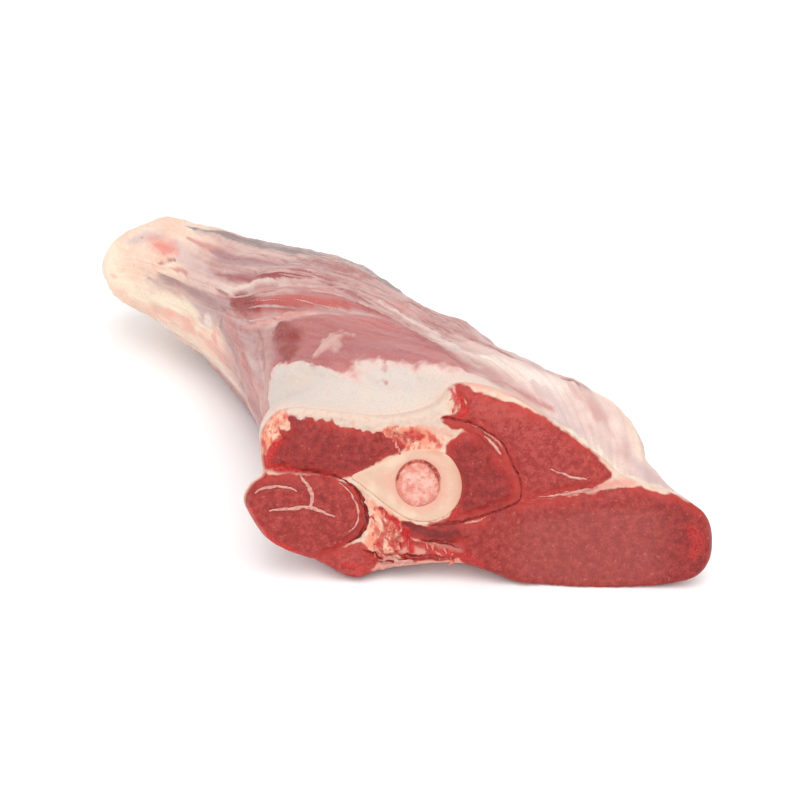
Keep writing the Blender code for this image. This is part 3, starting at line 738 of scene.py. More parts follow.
# (colour, how strongly, how far it stands out in mm, its path as (y, degrees, half width))
SKIN_MARKS = (
    # The pale and dull strips along the top.
    ("grey", 0.95, 0.2, ((146, 91, 1.2), (140, 89, 3.2), (130, 80, 5), (114, 75, 5.4), (98, 69, 5),
        (90, 59, 4.4), (78, 45, 3))),
    ("sinew", 0.7, 0.2, ((140, 93, 2), (121, 87, 2), (105, 80, 2), (95, 66, 2), (84, 54, 2))),
    ("dusty_pink", 0.8, 0.0, ((139, 106, 0.8), (135, 106, 2), (127, 104, 2.4), (118, 102, 1.4))),
    ("mauve", 0.9, -0.2, ((128, 105, 2), (117, 106, 4), (104, 98, 4.4), (98, 82, 4), (92, 68, 3.6),
        (84, 58, 2.4))),
    ("mauve", 0.8, 0.0, ((86, 62, 2), (76, 58, 3.4), (66, 56, 3), (58, 54, 1.5))),
    ("dusty_pink", 0.9, 0.0, ((70, 62, 2), (62, 58, 3.6), (55, 51, 4.6), (44, 49, 5.4), (34, 50, 5),
        (26, 53, 3.4))),
    ("dusty_pink", 0.7, 0.0, ((52, 40, 1.5), (44, 37, 3.2), (34, 40, 2.8), (27, 45, 1.6))),
    # The knuckle of the hock and the tendon that runs up from it.
    ("yellow_gristle", 0.9, 0.3, ((168, 140, 7), (161, 147, 7), (158, 160, 7), (152, 172, 5))),
    ("peach", 0.6, 0.3, ((158, 86, 5), (152, 96, 6), (147, 104, 5), (142, 104, 3))),
    ("peach", 0.35, 0.0, ((158, 146, 2), (152, 146, 6), (146, 146, 4))),
    ("lilac", 0.7, -0.2, ((157, 126, 2), (153, 120, 4), (148, 114, 3))),
    ("lilac", 0.6, 0.0, ((142, 118, 2), (136, 122, 4), (128, 126, 4), (120, 128, 3))),
    # Painted shade: these two mauve bands, a wide soft one and a narrow darker one along its upper edge,
    # paint the shadow in the furrow that runs from the hock along the tendon, over a shallow real dent.
    ("mauve", 0.5, -0.3, ((145, 156, 1.2), (140, 157, 3), (134, 158, 4.8), (125, 158, 6.2),
        (115, 157, 6.6), (106, 153, 5))),
    ("mauve", 0.75, -0.5, ((143, 151, 0.6), (138, 152, 1.5), (130, 152, 2.4), (118, 150, 3),
        (108, 147, 3.4), (101, 144, 2))),
    ("lilac", 0.7, 0.0, ((124, 161, 1.4), (116, 163, 3), (109, 160, 2.4))),
    ("dusty_pink", 0.8, -0.3, ((137, 140, 0.8), (131, 137, 1.6), (122, 140, 1.4), (117, 138, 0.8))),
    ("blush", 0.45, -0.5, ((151, 121, 2), (147, 123, 5.4), (141.5, 124, 4.6), (138, 125, 2))),
    ("blush", 0.7, -0.6, ((147.6, 126, 1), (145, 126, 2.8), (141.6, 124.6, 2.2), (140, 124, 1))),
    ("purple_lean", 0.9, -0.7, ((142, 139, 0.7), (139.4, 135.6, 1.5), (137, 132, 0.8))),
    ("blood_line", 0.6, -0.2, ((154.6, 120, 0.4), (153.6, 121, 1), (152.8, 122, 0.4))),
    ("peach", 0.9, -0.3, ((159.4, 160, 0.8), (158, 162, 2.2), (156.6, 165, 0.8))),
    ("peach", 0.9, 0.4, ((123, 174, 1.4), (121, 176, 3.2), (118, 178, 1.4))),
    ("blush", 0.6, 0.3, ((108, 177, 1), (106, 178, 2.8), (103, 180, 1.4))),
    ("blush", 0.6, -0.2, ((94, 176, 0.8), (92, 177, 2), (89, 178, 0.8))),
    ("white_sinew", 0.9, 0.3, ((115, 163, 1), (113, 165, 2.4), (110, 167, 1.2))),
    ("white_sinew", 0.7, 0.3, ((118, 172, 1), (116, 173, 1.8), (113, 172, 1))),
    ("yellow_gristle", 0.8, 0.2, ((150, 184, 3), (138, 176, 4.4), (127, 170, 3), (119, 168, 2))),
    ("blush", 0.35, 0.0, ((140, 186, 3), (130, 186, 3.6), (120, 188, 3))),
    # Strips of sinew between the bellies.
    ("sinew", 1.0, 0.5, ((126, 140, 3.6), (118, 137, 4), (110, 132, 3.4), (101, 125, 2.6),
        (90, 110, 1.9), (84, 94, 1.7), (77, 77, 1.7), (68, 69, 1.6), (56, 65, 1.6))),
    ("dusty_pink", 0.9, 0.2, ((93, 124, 1), (88, 116, 1.6), (82, 104, 1.8), (77, 92, 1.8),
        (71, 83, 1.6), (63, 75, 1))),
    ("blush", 0.6, 0.0, ((82, 142, 2.4), (74, 132, 2.2), (68, 120, 2), (64, 104, 1.4))),
    ("dusty_pink", 0.8, 0.4, ((90, 148, 1.6), (82, 142, 2.2), (74, 132, 1.8), (69, 121, 1.5),
        (66, 110, 1.2), (63, 100, 0.8))),
    ("sinew", 0.4, 0.3, ((84, 145, 1), (77, 137, 1.2), (71, 127, 1), (68, 118, 0.7))),
    ("white_sinew", 0.6, 0.3, ((112, 135, 1), (105, 131, 1.8), (96, 120, 1.8), (86, 106, 1.6),
        (80, 94, 1.2), (73, 80, 1))),
    ("white_sinew", 0.65, 0.5, ((66, 66, 1.2), (58, 64, 2), (50, 61, 2.4), (40, 62, 3), (30, 67, 3.2),
        (23, 71, 2.4), (16, 73, 1.4))),
    ("fine_fat", 0.7, 0.3, ((44, 50, 1.6), (34, 52, 4), (26, 55, 5), (20, 60, 4), (14, 66, 2.4))),
    ("white_sinew", 1.0, 0.4, ((24, 68, 2), (19, 58, 4.2), (17, 48, 5), (18, 38, 4.6), (22, 30, 2.4))),
    # The bellies' darkest places.
    ("deep_lean", 0.95, 0.0, ((101, 138, 2), (97, 135, 4.6), (90, 132, 5), (84, 128, 3))),
    ("bright_lean", 0.75, 0.0, ((86, 126, 1.6), (76, 115, 3.4), (71, 106, 3.4), (66, 97, 2.6),
        (61, 88, 1.4))),
    ("deep_lean", 0.45, 0.0, ((67, 86, 1), (60, 79, 2), (53, 74, 1.4))),
    ("deep_lean", 0.95, 0.0, ((66, 130, 2.4), (60, 132, 5.6), (53, 133, 6.4), (47, 137, 5),
        (43, 142, 2.4))),
    ("purple_lean", 0.3, 0.0, ((38, 136, 3), (33, 122, 6), (26, 108, 6), (20, 96, 4))),
    ("deep_lean", 0.4, 0.0, ((46, 74, 1.4), (36, 74, 2.6), (26, 78, 2.6), (16, 83, 1.6),
        (11, 88, 0.8))),
    ("deep_lean", 0.6, 0.0, ((98, 112, 1), (93, 106, 2.6), (88, 98, 2.6), (84, 90, 1.4))),
    ("deep_lean", 0.15, 0.0, ((115, 126, 1), (110, 124, 2.6), (104, 119, 2.4), (98, 108, 1.2))),
    # The flank.
    ("dusty_pink", 0.8, 0.0, ((100, 152, 3), (92, 158, 4.6), (84, 163, 4.6), (74, 166, 3.6),
        (60, 168, 4), (44, 170, 4), (28, 174, 4))),
    ("dusty_pink", 0.95, 0.0, ((90, 170, 3), (82, 175, 5), (72, 176, 5), (60, 174, 3))),
    ("blush", 0.4, 0.0, ((116, 186, 2), (108, 189, 4), (98, 188, 3))),
    ("lilac", 0.65, 0.2, ((92, 150, 1.4), (84, 152, 2.8), (76, 156, 3), (68, 161, 2.2), (62, 164, 1))),
    ("purple_lean", 0.75, -0.3, ((76, 140, 0.8), (70, 142, 1.8), (64, 149, 2), (57, 154, 1.6),
        (52, 157, 0.8))),
    ("sinew", 0.8, 0.3, ((73, 146, 0.6), (66, 152, 1), (58, 158, 1), (50, 161, 0.8))),
    ("purple_lean", 0.6, -0.5, ((80, 163, 1), (74, 167, 2.4), (66, 172, 2.6), (56, 177, 2.2),
        (42, 182, 1.8), (26, 184, 1.2))),
    ("mauve", 0.8, 0.0, ((104, 160, 2), (96, 166, 3), (86, 172, 3), (74, 178, 3))),
    # The side towards the calf, and the fat along its edge.
    ("lilac", 0.75, 0.0, ((15, 50, 1.4), (12, 47, 3), (8, 44, 3.6), (5, 40, 3.2), (3.6, 35, 1.6))),
    ("lilac", 0.7, 0.0, ((44, 30, 3), (36, 28, 5), (28, 32, 4))),
    ("lilac", 0.8, 0.0, ((9, 17, 2), (6, 12, 3.4), (3, 6, 3))),
    ("dusty_pink", 0.9, -0.3, ((11, 78, 0.5), (9, 68, 1.5), (9, 58, 1.8), (8, 50, 1))),
    ("dusty_pink", 0.5, 0.0, ((27, 42, 1), (22, 36, 2), (16, 30, 2.6), (11, 24, 2))),
    ("fine_fat", 0.6, 0.2, ((12, 26, 1.5), (8, 26, 3.4), (5, 25, 3.4), (3, 22, 2))),
    ("gristle", 0.7, 0.2, ((24, 22, 2), (20, 17, 4), (15, 14, 3.6), (10, 13, 2))),
    ("yellow_gristle", 0.8, 0.5, ((3, 62, 0.8), (3.2, 48, 1.6), (3, 34, 1.9), (2.6, 20, 1.7),
        (2.4, 8, 1.2))),
    ("blood_line", 0.9, -0.3, ((19.6, 39, 0.6), (22, 33, 1.4), (23, 28, 1.3), (21.4, 24, 0.6))),
    ("peach", 0.6, 0.0, ((3, 98, 1), (3.4, 88, 2), (4, 78, 2.4), (5, 68, 2), (6, 58, 1))),
    ("blush", 0.8, -0.2, ((2, 92, 0.8), (2.4, 84, 1.5), (3, 76, 1.5), (4, 69, 0.8))),
    # The far side and underneath, in the same way.
    ("purple_lean", 0.7, 0.5, ((120, 232, 3), (98, 238, 8), (72, 240, 10), (44, 236, 8),
        (22, 232, 3))),
    ("red_lean", 0.6, 0.5, ((112, 276, 3), (88, 282, 8), (60, 286, 9), (34, 284, 6))),
    ("purple_lean", 0.6, 0.4, ((118, 328, 3), (94, 334, 7), (68, 338, 8), (42, 342, 6))),
    ("red_lean", 0.5, 0.4, ((112, 20, 3), (92, 14, 6), (70, 10, 6), (50, 8, 4))),
    ("white_sinew", 0.9, 0.5, ((140, 212, 4), (112, 214, 3), (84, 214, 2.4), (54, 210, 2.4),
        (26, 206, 2))),
    ("sinew", 0.9, 0.5, ((142, 258, 4), (108, 260, 3), (74, 262, 2.4), (40, 262, 2.6), (12, 262, 3))),
    ("white_sinew", 0.9, 0.5, ((140, 308, 4), (104, 310, 3), (70, 312, 2.4), (38, 314, 3),
        (10, 316, 3.4))),
    ("grey", 0.6, 0.1, ((134, 344, 3), (108, 354, 4), (82, 358, 4))),
    ("lilac", 0.8, 0.0, ((62, 220, 3), (44, 222, 5), (24, 222, 4))),
    ("red_lean", 1.0, 0.0, ((2, 358, 2), (3, 344, 4), (4, 326, 5), (4, 304, 5), (4, 280, 4),
        (4, 250, 4), (4, 222, 4), (3, 202, 4), (3, 186, 4), (3, 174, 4), (3, 166, 3), (3, 160, 2))),
)

# The edge of the white fat towards the hock, as (degrees round the leg, y).
FAT_EDGE = (
    (74, -6), (80, 3), (86, 7), (91, 9), (98, 9.5), (103, 10.5), (107, 14), (110, 17.5), (113, 20),
    (119, 21.5), (124, 21), (128, 18.5), (131, 17), (133, 20), (135, 27), (137, 34), (139, 39),
    (142, 42), (147, 46), (153, 46), (160, 42), (166, 34), (172, 25), (178, 13), (184, 4), (190, -6),
)
FAT_RISE = 0.9
FIBRE_RELIEF = 0.16
BROAD_RELIEF = 0.35
FINE_RELIEF = 0.16
OFF_FAT = -9.0              # the depth of what lies outside the fat
FAT_MARKS = (
    ("fat_margin", 1.0, 0.9, ((33.6, 131, 1.2), (35.6, 128, 2.2), (38, 121, 2.5), (40, 114, 1.7),
        (39.6, 107, 1))),
    # Painted light: this peach mark brightens the fat's left lip, which faces away from the lamps and would
    # otherwise lie in shade.
    ("peach", 0.55, 0.0, ((22, 174, 1.6), (12, 170, 4), (2, 168, 5), (2, 176, 4))),
    ("blush", 0.5, 0.0, ((13, 176, 0.5), (10, 173, 1.2), (7, 172, 0.6))),
    ("blush", 0.5, 0.0, ((4, 166, 0.6), (2, 162, 1.8), (2, 170, 1.8))),
    ("peach", 0.6, 0.3, ((35.6, 128, 1), (39, 122, 2.2), (42, 116, 2), (43.6, 110, 1.2))),
    ("white_sinew", 0.6, 0.3, ((38, 127, 0.5), (41, 121, 1), (43.4, 114, 0.6))),
    ("fat_margin", 0.8, 0.4, ((32, 124, 0.8), (34, 122, 1.8), (36.6, 119, 1.2))),
    ("purple_lean", 0.6, -0.3, ((29, 137, 0.6), (27.6, 135, 2), (26.6, 131, 1.4))),
    ("dusty_pink", 1.0, -0.5, ((19.6, 112, 0.4), (15.6, 118, 1.3), (12.4, 121, 0.8))),
    ("dusty_pink", 0.7, -0.3, ((14, 106, 0.4), (11, 108, 0.9), (8.6, 110, 0.4))),
    ("dusty_pink", 0.6, -0.2, ((24, 120, 0.4), (20.4, 123, 0.9), (17, 125, 0.4))),
)

# Furrows between the bellies of the muscles, as (y, degrees round the leg), with their depth.
FURROWS = (
    (((143, 156), (127, 162), (112, 152), (94, 140), (76, 150), (56, 165)), 1.2),
    (((121, 136), (102, 130), (91, 118), (84, 98), (76, 76), (57, 64), (40, 60)), 1.0),
    (((139, 98), (115, 96), (97, 84), (84, 66), (70, 48), (45, 42)), 0.9),
    (((80, 136), (73, 126), (67, 108), (58, 92)), 0.8),
    (((66, 186), (44, 184), (20, 181), (0, 179)), 2.0),
    (((146, 30), (118, 20), (88, 12), (58, 8), (30, 12)), 1.6),
    (((144, -20), (116, -24), (84, -24), (52, -18), (24, -12)), 1.2),
    (((140, -70), (108, -66), (76, -52), (46, -40)), 1.0),
    (((140, -140), (112, -146), (80, -152), (46, -160), (18, -168)), 1.6),
)
FURROW_WIDTH = 5.0

# Broad swellings and, where the height is less than 0, hollows: (path, height, width).
SWELLS = (
    (((HOCK_Y, 130), (HOCK_Y, 155), (163, 172)), 1.8, 8.0),
    (((149, 70), (142, 62), (134, 50)), -2.2, 8.0),
    (((110, 63), (95, 57), (84, 50)), 0.9, 6.0),
    (((86, 36), (76, 32), (68, 30)), -1.4, 7.0),
    (((60, 32), (58, 30)), 0.9, 5.0),
    (((52, 28), (38, 34), (30, 32)), -1.7, 7.0),
    (((20, 18), (21, 12)), 1.3, 4.5),
    (((147, 79), (143, 76)), -0.9, 5.0),
    (((82, 46), (74, 43)), -0.4, 6.0),
    (((15, 6), (11, 3), (5, 0)), -4.4, 5.5),
    (((162, 196), (156, 206), (148, 214)), -2.2, 8.0),
    (((6, 172), (12, 172), (26, 174)), -3.0, 7.0),
)


def nearness(points, path):
    """1 on a path of points that each have their own half width, 0 at its edge and beyond it."""
    path = np.asarray(path, float)
    centres, widths = path[:, :-1], path[:, -1]
    reach_out = widths.max()
    close = ((points > centres.min(0) - reach_out) & (points < centres.max(0) + reach_out)).all(1)
    near = np.zeros(len(points))
    if close.any():
        apart = np.linalg.norm(points[close][:, None] - centres, axis=2) / np.maximum(widths, 0.01)
        near[close] = np.clip(1 - apart.min(1), 0, 1)
    return near


def on_skin(path):
    """A path over the skin, given as (y, degrees, half width), as points in space with half widths."""
    smooth = smooth_path(path, 10)
    bearings = np.radians(smooth[:, 1]) % (2 * pi)
    distances = reach(cut_loop, CUT_MIDDLE, bearings)
    places = [in_plane(flesh_section(y, np.array([bearing]), np.array([distance])), y)[0]
              for y, bearing, distance in zip(smooth[:, 0], bearings, distances)]
    return np.column_stack((places, smooth[:, 2]))


# Marks and outlines are read at wavering places, so that no edge on the skin runs smooth.
squeezed = places * (1, 0.3, 1)
waver = np.column_stack([lumps(squeezed, 4.0, seed) for seed in (31, 32, 33)])
waver += 0.35 * np.column_stack([lumps(squeezed, 1.5, seed, 2) for seed in (34, 35, 36)])
wavered = places + 0.9 * waver
unrolled = np.column_stack((along_leg, bearing * MM_PER_DEGREE)) + 0.9 * waver[:, :2]
fibre = lumps(grain_place, 1.1, 51)
mottle = lumps(places, 7.0, 54)
fine_mottle = lumps(places, 2.4, 55, 2)


def towards(degrees):
    """1 on the side of the leg that faces this bearing, and -1 on the other side."""
    return np.cos(np.radians(bearing - degrees))


# The plain colour of each part of the leg. The hock's gristle ends in fingers on its far side.
far_side = eased((0.3 - towards(125)) / 0.4)
fingers = GRISTLE_FINGERS * lumps(places * (1, 0.12, 1), 4.5, 56) * far_side
hock_zone = eased((along_leg + fingers + 3 * mottle - GRISTLE_FROM + 14 * towards(165)) / 20)
tendon_side = eased((towards(190) - 0.72) / 0.2) * eased((along_leg - TENDON_FROM) / 24)
near_calf = eased((CALF_FAT_TO - along_leg) / 30) * eased((towards(20) - 0.55) / 0.3)
skin_colour = np.tile(SKIN_COLOURS["silverskin"], (len(places), 1))
skin_rise = np.zeros(len(places))


def paint(colour, share):
    """Lays a colour over the skin, as thickly as share says."""
    global skin_colour
    change = np.array(SKIN_COLOURS[colour]) - skin_colour
    skin_colour = skin_colour + np.clip(share, 0, 1)[:, None] * change


def paint_marks(marks):
    """Lays each mark over the skin and raises the skin under it; the grain frays the marks' ends."""
    global skin_rise
    for colour, most, height, path in marks:
        near = nearness(wavered, on_skin(path))
        paint(colour, most * eased(near * (1.3 + 0.4 * fibre * (1 - hock_zone))))
        skin_rise = skin_rise + height * eased(near * 1.3)


def bell(path, width):
    """1 along a path over the skin, given as (y, degrees), falling off to 0 in a bell of this width."""
    near = nearness(places, on_skin([(y, degrees, 3 * width) for y, degrees in path]))
    return np.exp(-((3 * width * (1 - near) / width) ** 2))


paint("sinew", 0.5 * eased(mottle))
paint("dusty_pink", 0.5 * eased(-mottle))
paint("fine_fat", near_calf * (0.85 + 0.3 * mottle))
paint("gristle", np.maximum(hock_zone, tendon_side))
paint("peach", np.maximum(0.5 * hock_zone, 0.8 * tendon_side) * eased(0.35 + mottle))
paint("peach", 0.4 * hock_zone * eased(1.5 * fine_mottle))
paint("lilac", 0.3 * hock_zone * eased(-1.5 * fine_mottle - 0.2))
for colour, height, outline in BELLIES:
    inside = distance_inside(unrolled, smooth_path(np.array(outline) * (1, MM_PER_DEGREE), 5, True))
    paint(colour, eased((inside + BELLY_FRAY * fibre) / BELLY_EDGE + 0.4))
    skin_rise += height * eased(inside / 4)
paint_marks(SKIN_MARKS)

apart_from_plain = skin_colour - np.array(SKIN_COLOURS["silverskin"])
skin_colour += (BELLY_CONTRAST * (1 - hock_zone) * (1 - near_calf))[:, None] * apart_from_plain

edge_bearing, edge_y = zip(*FAT_EDGE)
ragged = 1.6 * lumps(places, 5.0, 41, 4) + 1.1 * fine_mottle
fat_depth = np.interp(bearing, edge_bearing, edge_y, left=OFF_FAT, right=OFF_FAT) - along_leg
fat_depth += ragged * eased((bearing - 84) / 12) * eased((178 - bearing) / 12)
fat_depth = np.where(is_skin, fat_depth, OFF_FAT)
paint("fat_margin", eased(fat_depth / 2 + 1))
paint("fat", eased((fat_depth - 1.2 + 1.5 * fine_mottle) / 3.5))
skin_rise += FAT_RISE * eased(fat_depth / 2.5 + 0.2)
on_fat = eased(fat_depth / 1.5)
paint("cream_fat", on_fat * np.maximum(eased(1 - along_leg / 9), 0.6 * eased(0.2 + mottle)))
paint("peach", 0.5 * on_fat * eased(1 - along_leg / 5) * eased(1.6 * fine_mottle - 0.2))
lip = on_fat * eased(1 - along_leg / 14) * eased((bearing - 146) / 16)
paint("peach", lip * eased(0.35 + 1.2 * fine_mottle))
paint("dusty_pink", 0.6 * lip * eased(0.9 * mottle - 0.9 * fine_mottle))
paint_marks(FAT_MARKS)

# The relief: furrows, swellings, the grain's fibres and the natural unevenness.
depth = np.zeros(len(places))
for path, deepest in FURROWS:
    depth = np.maximum(depth, deepest * bell(path, FURROW_WIDTH))
skin_rise -= depth * (eased(along_leg / 6) * 0.6 + 0.4)
form_rise = np.zeros(len(places))
for path, height, width in SWELLS:
    form_rise += height * bell(path, width)
skin_rise += FIBRE_RELIEF * fibre * (1 - on_fat) * eased((HOCK_Y - along_leg) / 25)
skin_rise += BROAD_RELIEF * lumps(places, 14, 52, 2) + FINE_RELIEF * lumps(places, 3.2, 53)
behind_rim = along_leg - RIM_START
skin_rise = skin_rise * eased(behind_rim / (3 + 9 * on_fat)) + form_rise * eased(behind_rim / 5)

# ---------------------------------------------------------------------------------------------
# FLESH: WHAT SHOWS ON THE SAWN FACE. The muscles stand a little proud of the fat between them.
# White lines of fascia run through them, and blood has gathered in the gaps.

# The muscles on the sawn face: how dark (0) or light (1) the lean is, and its outline.
MUSCLES = {
    "front": (0.15, ((-44, 4.6), (-42.4, 7), (-40.4, 10), (-38, 12.8), (-36.2, 15.6), (-35.4, 18.4),
        (-33, 19.4), (-30, 18), (-26, 18.4), (-21.5, 16.6), (-17.5, 16.8), (-13.5, 14.8), (-9, 14.2),
        (-5.5, 12.4), (-3.2, 10.4), (-9.3, 7.2), (-15, 3.8), (-19.9, 1.7), (-26.8, 2.5),
        (-33.6, 3.5))),
    "long_flexor": (0.5, ((-49, -5.8), (-46.4, -1.4), (-42, 1.6), (-36.3, 2.4), (-30.6, 2.2),
        (-25.4, 2), (-21.4, 1), (-17.4, -1.9), (-14.8, -5.8), (-14.2, -12), (-16.4, -15.6),
        (-19.6, -18.3), (-26.2, -21.6), (-35, -22.4), (-42.4, -18.6), (-47.2, -11.4))),
    "deep_flexor": (0.1, ((8, 12), (10.7, 14.3), (13.7, 15.2), (17.8, 12.4), (21.7, 8.2), (25, 4.2),
        (27.3, 0.2), (27.2, -3.7), (24.1, -5.4), (19.2, -7.4), (13.8, -9), (8.8, -10.3), (9.4, -6.2),
        (10.4, -0.9), (9.6, 4.5), (7.6, 8))),
    "plantaris": (0.45, ((6.3, 18.5), (9.1, 18.6), (13.9, 17.4), (18, 15.4), (21.4, 13), (23, 10),
        (23.6, 7.1), (25.8, 3.7), (27.5, 0.2), (25.2, 4.6), (21.9, 8.7), (18, 13), (13.9, 15.9),
        (9.5, 16.4))),
    "calf": (0.75, ((9.7, 28.2), (12.4, 28.8), (15.2, 27), (19.2, 25.8), (26.5, 23.7), (32.8, 20.5),
        (38.3, 17), (43.8, 12.7), (49.3, 8.4), (52.6, 3.9), (50.1, 1.2), (46.8, -0.3), (40.9, -1.3),
        (34.7, -3.2), (30.6, -3.5), (27.6, -3.6), (27.7, 0.4), (26, 4), (24, 7.5), (23.2, 10.4),
        (21.5, 13.4), (18.2, 15.8), (13.9, 17.8), (6.3, 19.2), (9.8, 21), (11.2, 22.6), (10.3, 25.4))),
    "heel": (0.4, ((11.7, -17.8), (13, -13.4), (19.2, -9), (27.6, -5.1), (34.7, -3.9), (46.9, -1.1),
        (56.3, 0.6), (63.1, -0.1), (71.6, -2.7), (78, -6.4), (82.4, -12.5), (82.4, -22), (76.4, -28),
        (61.3, -31.4), (44.8, -32), (28, -30.4), (20.6, -27.4), (15.4, -24.8), (11.6, -22))),
    "scrap": (0.9, ((-28.3, -22.6), (-19.9, -18.6), (-15.2, -17.3), (-12.5, -20.5), (-9.5, -23),
        (-11.8, -27.6), (-18.2, -30))),
    "torn": (0.7, ((-6.2, -18.2), (-2, -16.2), (6.2, -17), (13, -16.4), (14.4, -20), (11.7, -21.4),
        (3.5, -22.2), (-4.2, -21.6))),
    "sheaths": (0.35, ((7, 19.4), (13.5, 18), (18.5, 15.4), (22.5, 11.8), (24.3, 8), (26.3, 4),
        (28, 0.5), (28.6, -2.8), (34.7, -3), (46, -0.6), (46, -1.6), (34.7, -4.4), (26, -6),
        (18, -9.6), (8.6, -11.4), (9, -9.6), (19.4, -6.8), (24.3, -4.8), (26.6, -3.2), (26.6, 0),
        (24.4, 4), (21, 8.2), (17.2, 12.4), (13.2, 15.2), (9, 16.6))),
    "under_bone": (0.0, ((-4.4, -10.6), (2, -11.9), (8.8, -10.6), (15.7, -10.8), (24, -8), (21, -12),
        (17.2, -16.2), (6.2, -17), (-2.1, -15.2))),
}
MUSCLE_RISE = 1.8           # of the lean over the fat
MUSCLE_SHOULDER = 4.0       # how far inside its outline a muscle has risen in full

# (what it is, how strongly, how far it stands out in mm, its path as (across, up, half width))
CUT_MARKS = (
    ("white", 0.9, 0.0, ((41, -2, 0.3), (44, -1.4, 0.5), (47, -0.8, 0.8), (51, 0.6, 1.1),
        (54, 1.7, 1.5), (58, 1.6, 1.1))),
    ("white", 0.7, 0.0, ((11, 29.4, 0.8), (17, 28.6, 1.5), (24, 26.8, 1.3), (31, 24, 0.8))),
    ("white", 0.35, 0.4, ((4, -17.2, 0.7), (8, -17.6, 1.4), (12.4, -18.8, 0.8))),
    ("white", 0.8, 0.4, ((-4.6, -19.6, 0.8), (-2, -18.8, 1.5), (1.8, -19, 1))),
    ("white", 0.6, 0.3, ((2.6, 16.2, 1), (5.5, 15.8, 1.4), (8.6, 14.6, 1))),
    ("white", 0.9, 0.5, ((-12, -25, 0.8), (-7.6, -23.2, 1.3), (-3, -23.4, 1), (3, -23, 0.9),
        (8, -22.6, 0.9), (13, -22.6, 0.6))),
    ("blood", 1.0, -0.9, ((-42, 4.4, 1.6), (-38, 3.7, 1.5), (-33, 3.2, 1.1), (-27, 2.5, 0.8),
        (-21, 1.5, 0.5))),
    ("blood", 0.9, -0.3, ((-41.4, 6, 1.2), (-40, 9, 1), (-37.4, 13, 1))),
    ("blood", 0.7, 0.0, ((-45.4, 4.4, 1), (-43.6, 8, 1.1), (-42, 11, 0.7))),
    ("blood", 0.9, 0.2, ((-3.6, 14.6, 0.8), (-1.6, 14.6, 2.1), (0.6, 13.8, 1.5))),
    ("blood", 0.5, 0.0, ((4.2, 13.6, 1), (5.4, 12.4, 1))),
    ("blood", 0.6, 0.0, ((-9, 15.4, 0.8), (-6.4, 14, 1.5), (-3.6, 11.6, 1.4))),
    ("blood", 0.9, 0.0, ((8.5, 27, 0.9), (10.6, 24.6, 1.8), (12.4, 22, 1.6), (11, 19.6, 1))),
    ("blood", 1.0, -0.4, ((-10.5, -7.6, 0.8), (-7, -10.2, 1.5), (-4.4, -12.8, 1.8), (-3, -15.8, 2.1),
        (-1.6, -18.6, 1.5))),
    ("blood", 0.8, 0.3, ((-8, -10.6, 0.6), (-9, -14, 1), (-10.4, -17, 1.1), (-10, -20, 0.8))),
    ("blood", 0.6, 0.2, ((-5.8, -13.6, 0.6), (-6.8, -17, 1), (-5.4, -19.6, 1.1), (-2.2, -20.6, 0.9))),
    ("blood", 0.8, -0.3, ((-14, -19.6, 0.5), (-10.6, -21.2, 0.8), (-6, -20.6, 0.7))),
    ("blood", 0.6, 0.0, ((3.6, -18.8, 1.2), (8.6, -19.4, 1.5), (14, -20.4, 1.6), (18, -22.6, 1))),
    ("blood", 0.8, -0.2, ((3, -11.4, 0.5), (8, -9.9, 1), (11.6, -7.2, 0.9))),
    ("blood", 0.9, 0.0, ((-46, -7, 1), (-44.6, -11, 1.8), (-42, -15.4, 2.2), (-38, -18, 1.8),
        (-32, -20.6, 1.2))),
    ("blood", 0.45, 0.0, ((-21, -23.4, 1), (-16.6, -24, 2.2), (-12.6, -25.4, 1.2))),
    ("blood", 0.5, 0.0, ((74.6, -10.6, 2), (76.6, -14.5, 2.6), (75.4, -18, 1.6))),
    ("gap", 0.5, -0.5, ((-17.6, -1.6, 0.5), (-14.9, -5.6, 0.7), (-14, -9, 0.8), (-14.2, -12.6, 0.7),
        (-16.2, -15.8, 0.5))),
    ("gap", 0.75, -0.7, ((-3.8, -11.6, 0.8), (1, -13.4, 1.6), (6, -14.2, 1.5), (11, -13.4, 0.9))),
    ("gap", 0.35, -0.3, ((-36, 4.6, 0.5), (-37.4, 9, 0.5), (-37, 13, 0.4))),
    ("gap", 0.6, -0.2, ((-26.2, -3.2, 0.3), (-25.8, -4.4, 0.7), (-25.2, -5.2, 0.3))),
    ("gap", 0.5, -0.2, ((-19.4, -11.4, 0.3), (-18.4, -12, 0.5), (-17.6, -12.6, 0.3))),
    ("gap", 0.4, -0.4, ((-10, -23, 0.4), (-6, -22.6, 0.7), (-2, -21.6, 0.7), (6, -21.4, 0.6))),
)
FAR_OUTSIDE = -9.0          # stands for any distance outside an outline
UNDER_BONE = -1.2
LEAN_FINE_RELIEF = 0.10
LEAN_BROAD_RELIEF = 0.22
FAT_FINE_RELIEF = 0.22
FAT_BROAD_RELIEF = 0.35
SOFT_FAT_RELIEF = 0.7
PRESSED = 1.6               # how softly the flesh goes over to its flat rest on the table

# Where the fat is soft, peach coloured and marbled with red.
SOFT_FATS = (
    ((-15, -3), (-9, -7), (-3.5, -10.4), (-1.4, -15), (3, -18.4), (9, -19.6), (15, -21), (13, -24),
        (2, -25), (-8.5, -26), (-12.6, -23), (-15, -18.6), (-13.4, -13.9), (-13, -8.1)),
    ((-49, 2), (-50, 19), (-43, 23.5), (-38, 22), (-34.4, 17.8), (-36.4, 13.6), (-39, 10), (-41, 6),
        (-42, 4)),
    ((-12, 15.4), (-6, 17), (1.5, 16.8), (5, 15.4), (7.4, 13), (6.5, 10.6), (1, 9.8), (-4, 9.8),
        (-8, 12.6)),
)


def zigzag(size, seed, amount):
    """A small sideways shake of the sawn face's points, so that no edge there runs smooth."""
    return amount * np.column_stack([lumps(flat, size, seed + k) for k in (0, 1)])


def inside_on_cut(spots, outline):
    """How far points lie inside an outline on the sawn face; points away from the face lie outside."""
    inside = np.full(len(spots), FAR_OUTSIDE)
    inside[near_cut] = distance_inside(spots[near_cut], smooth_path(outline, 6, True))
    return inside


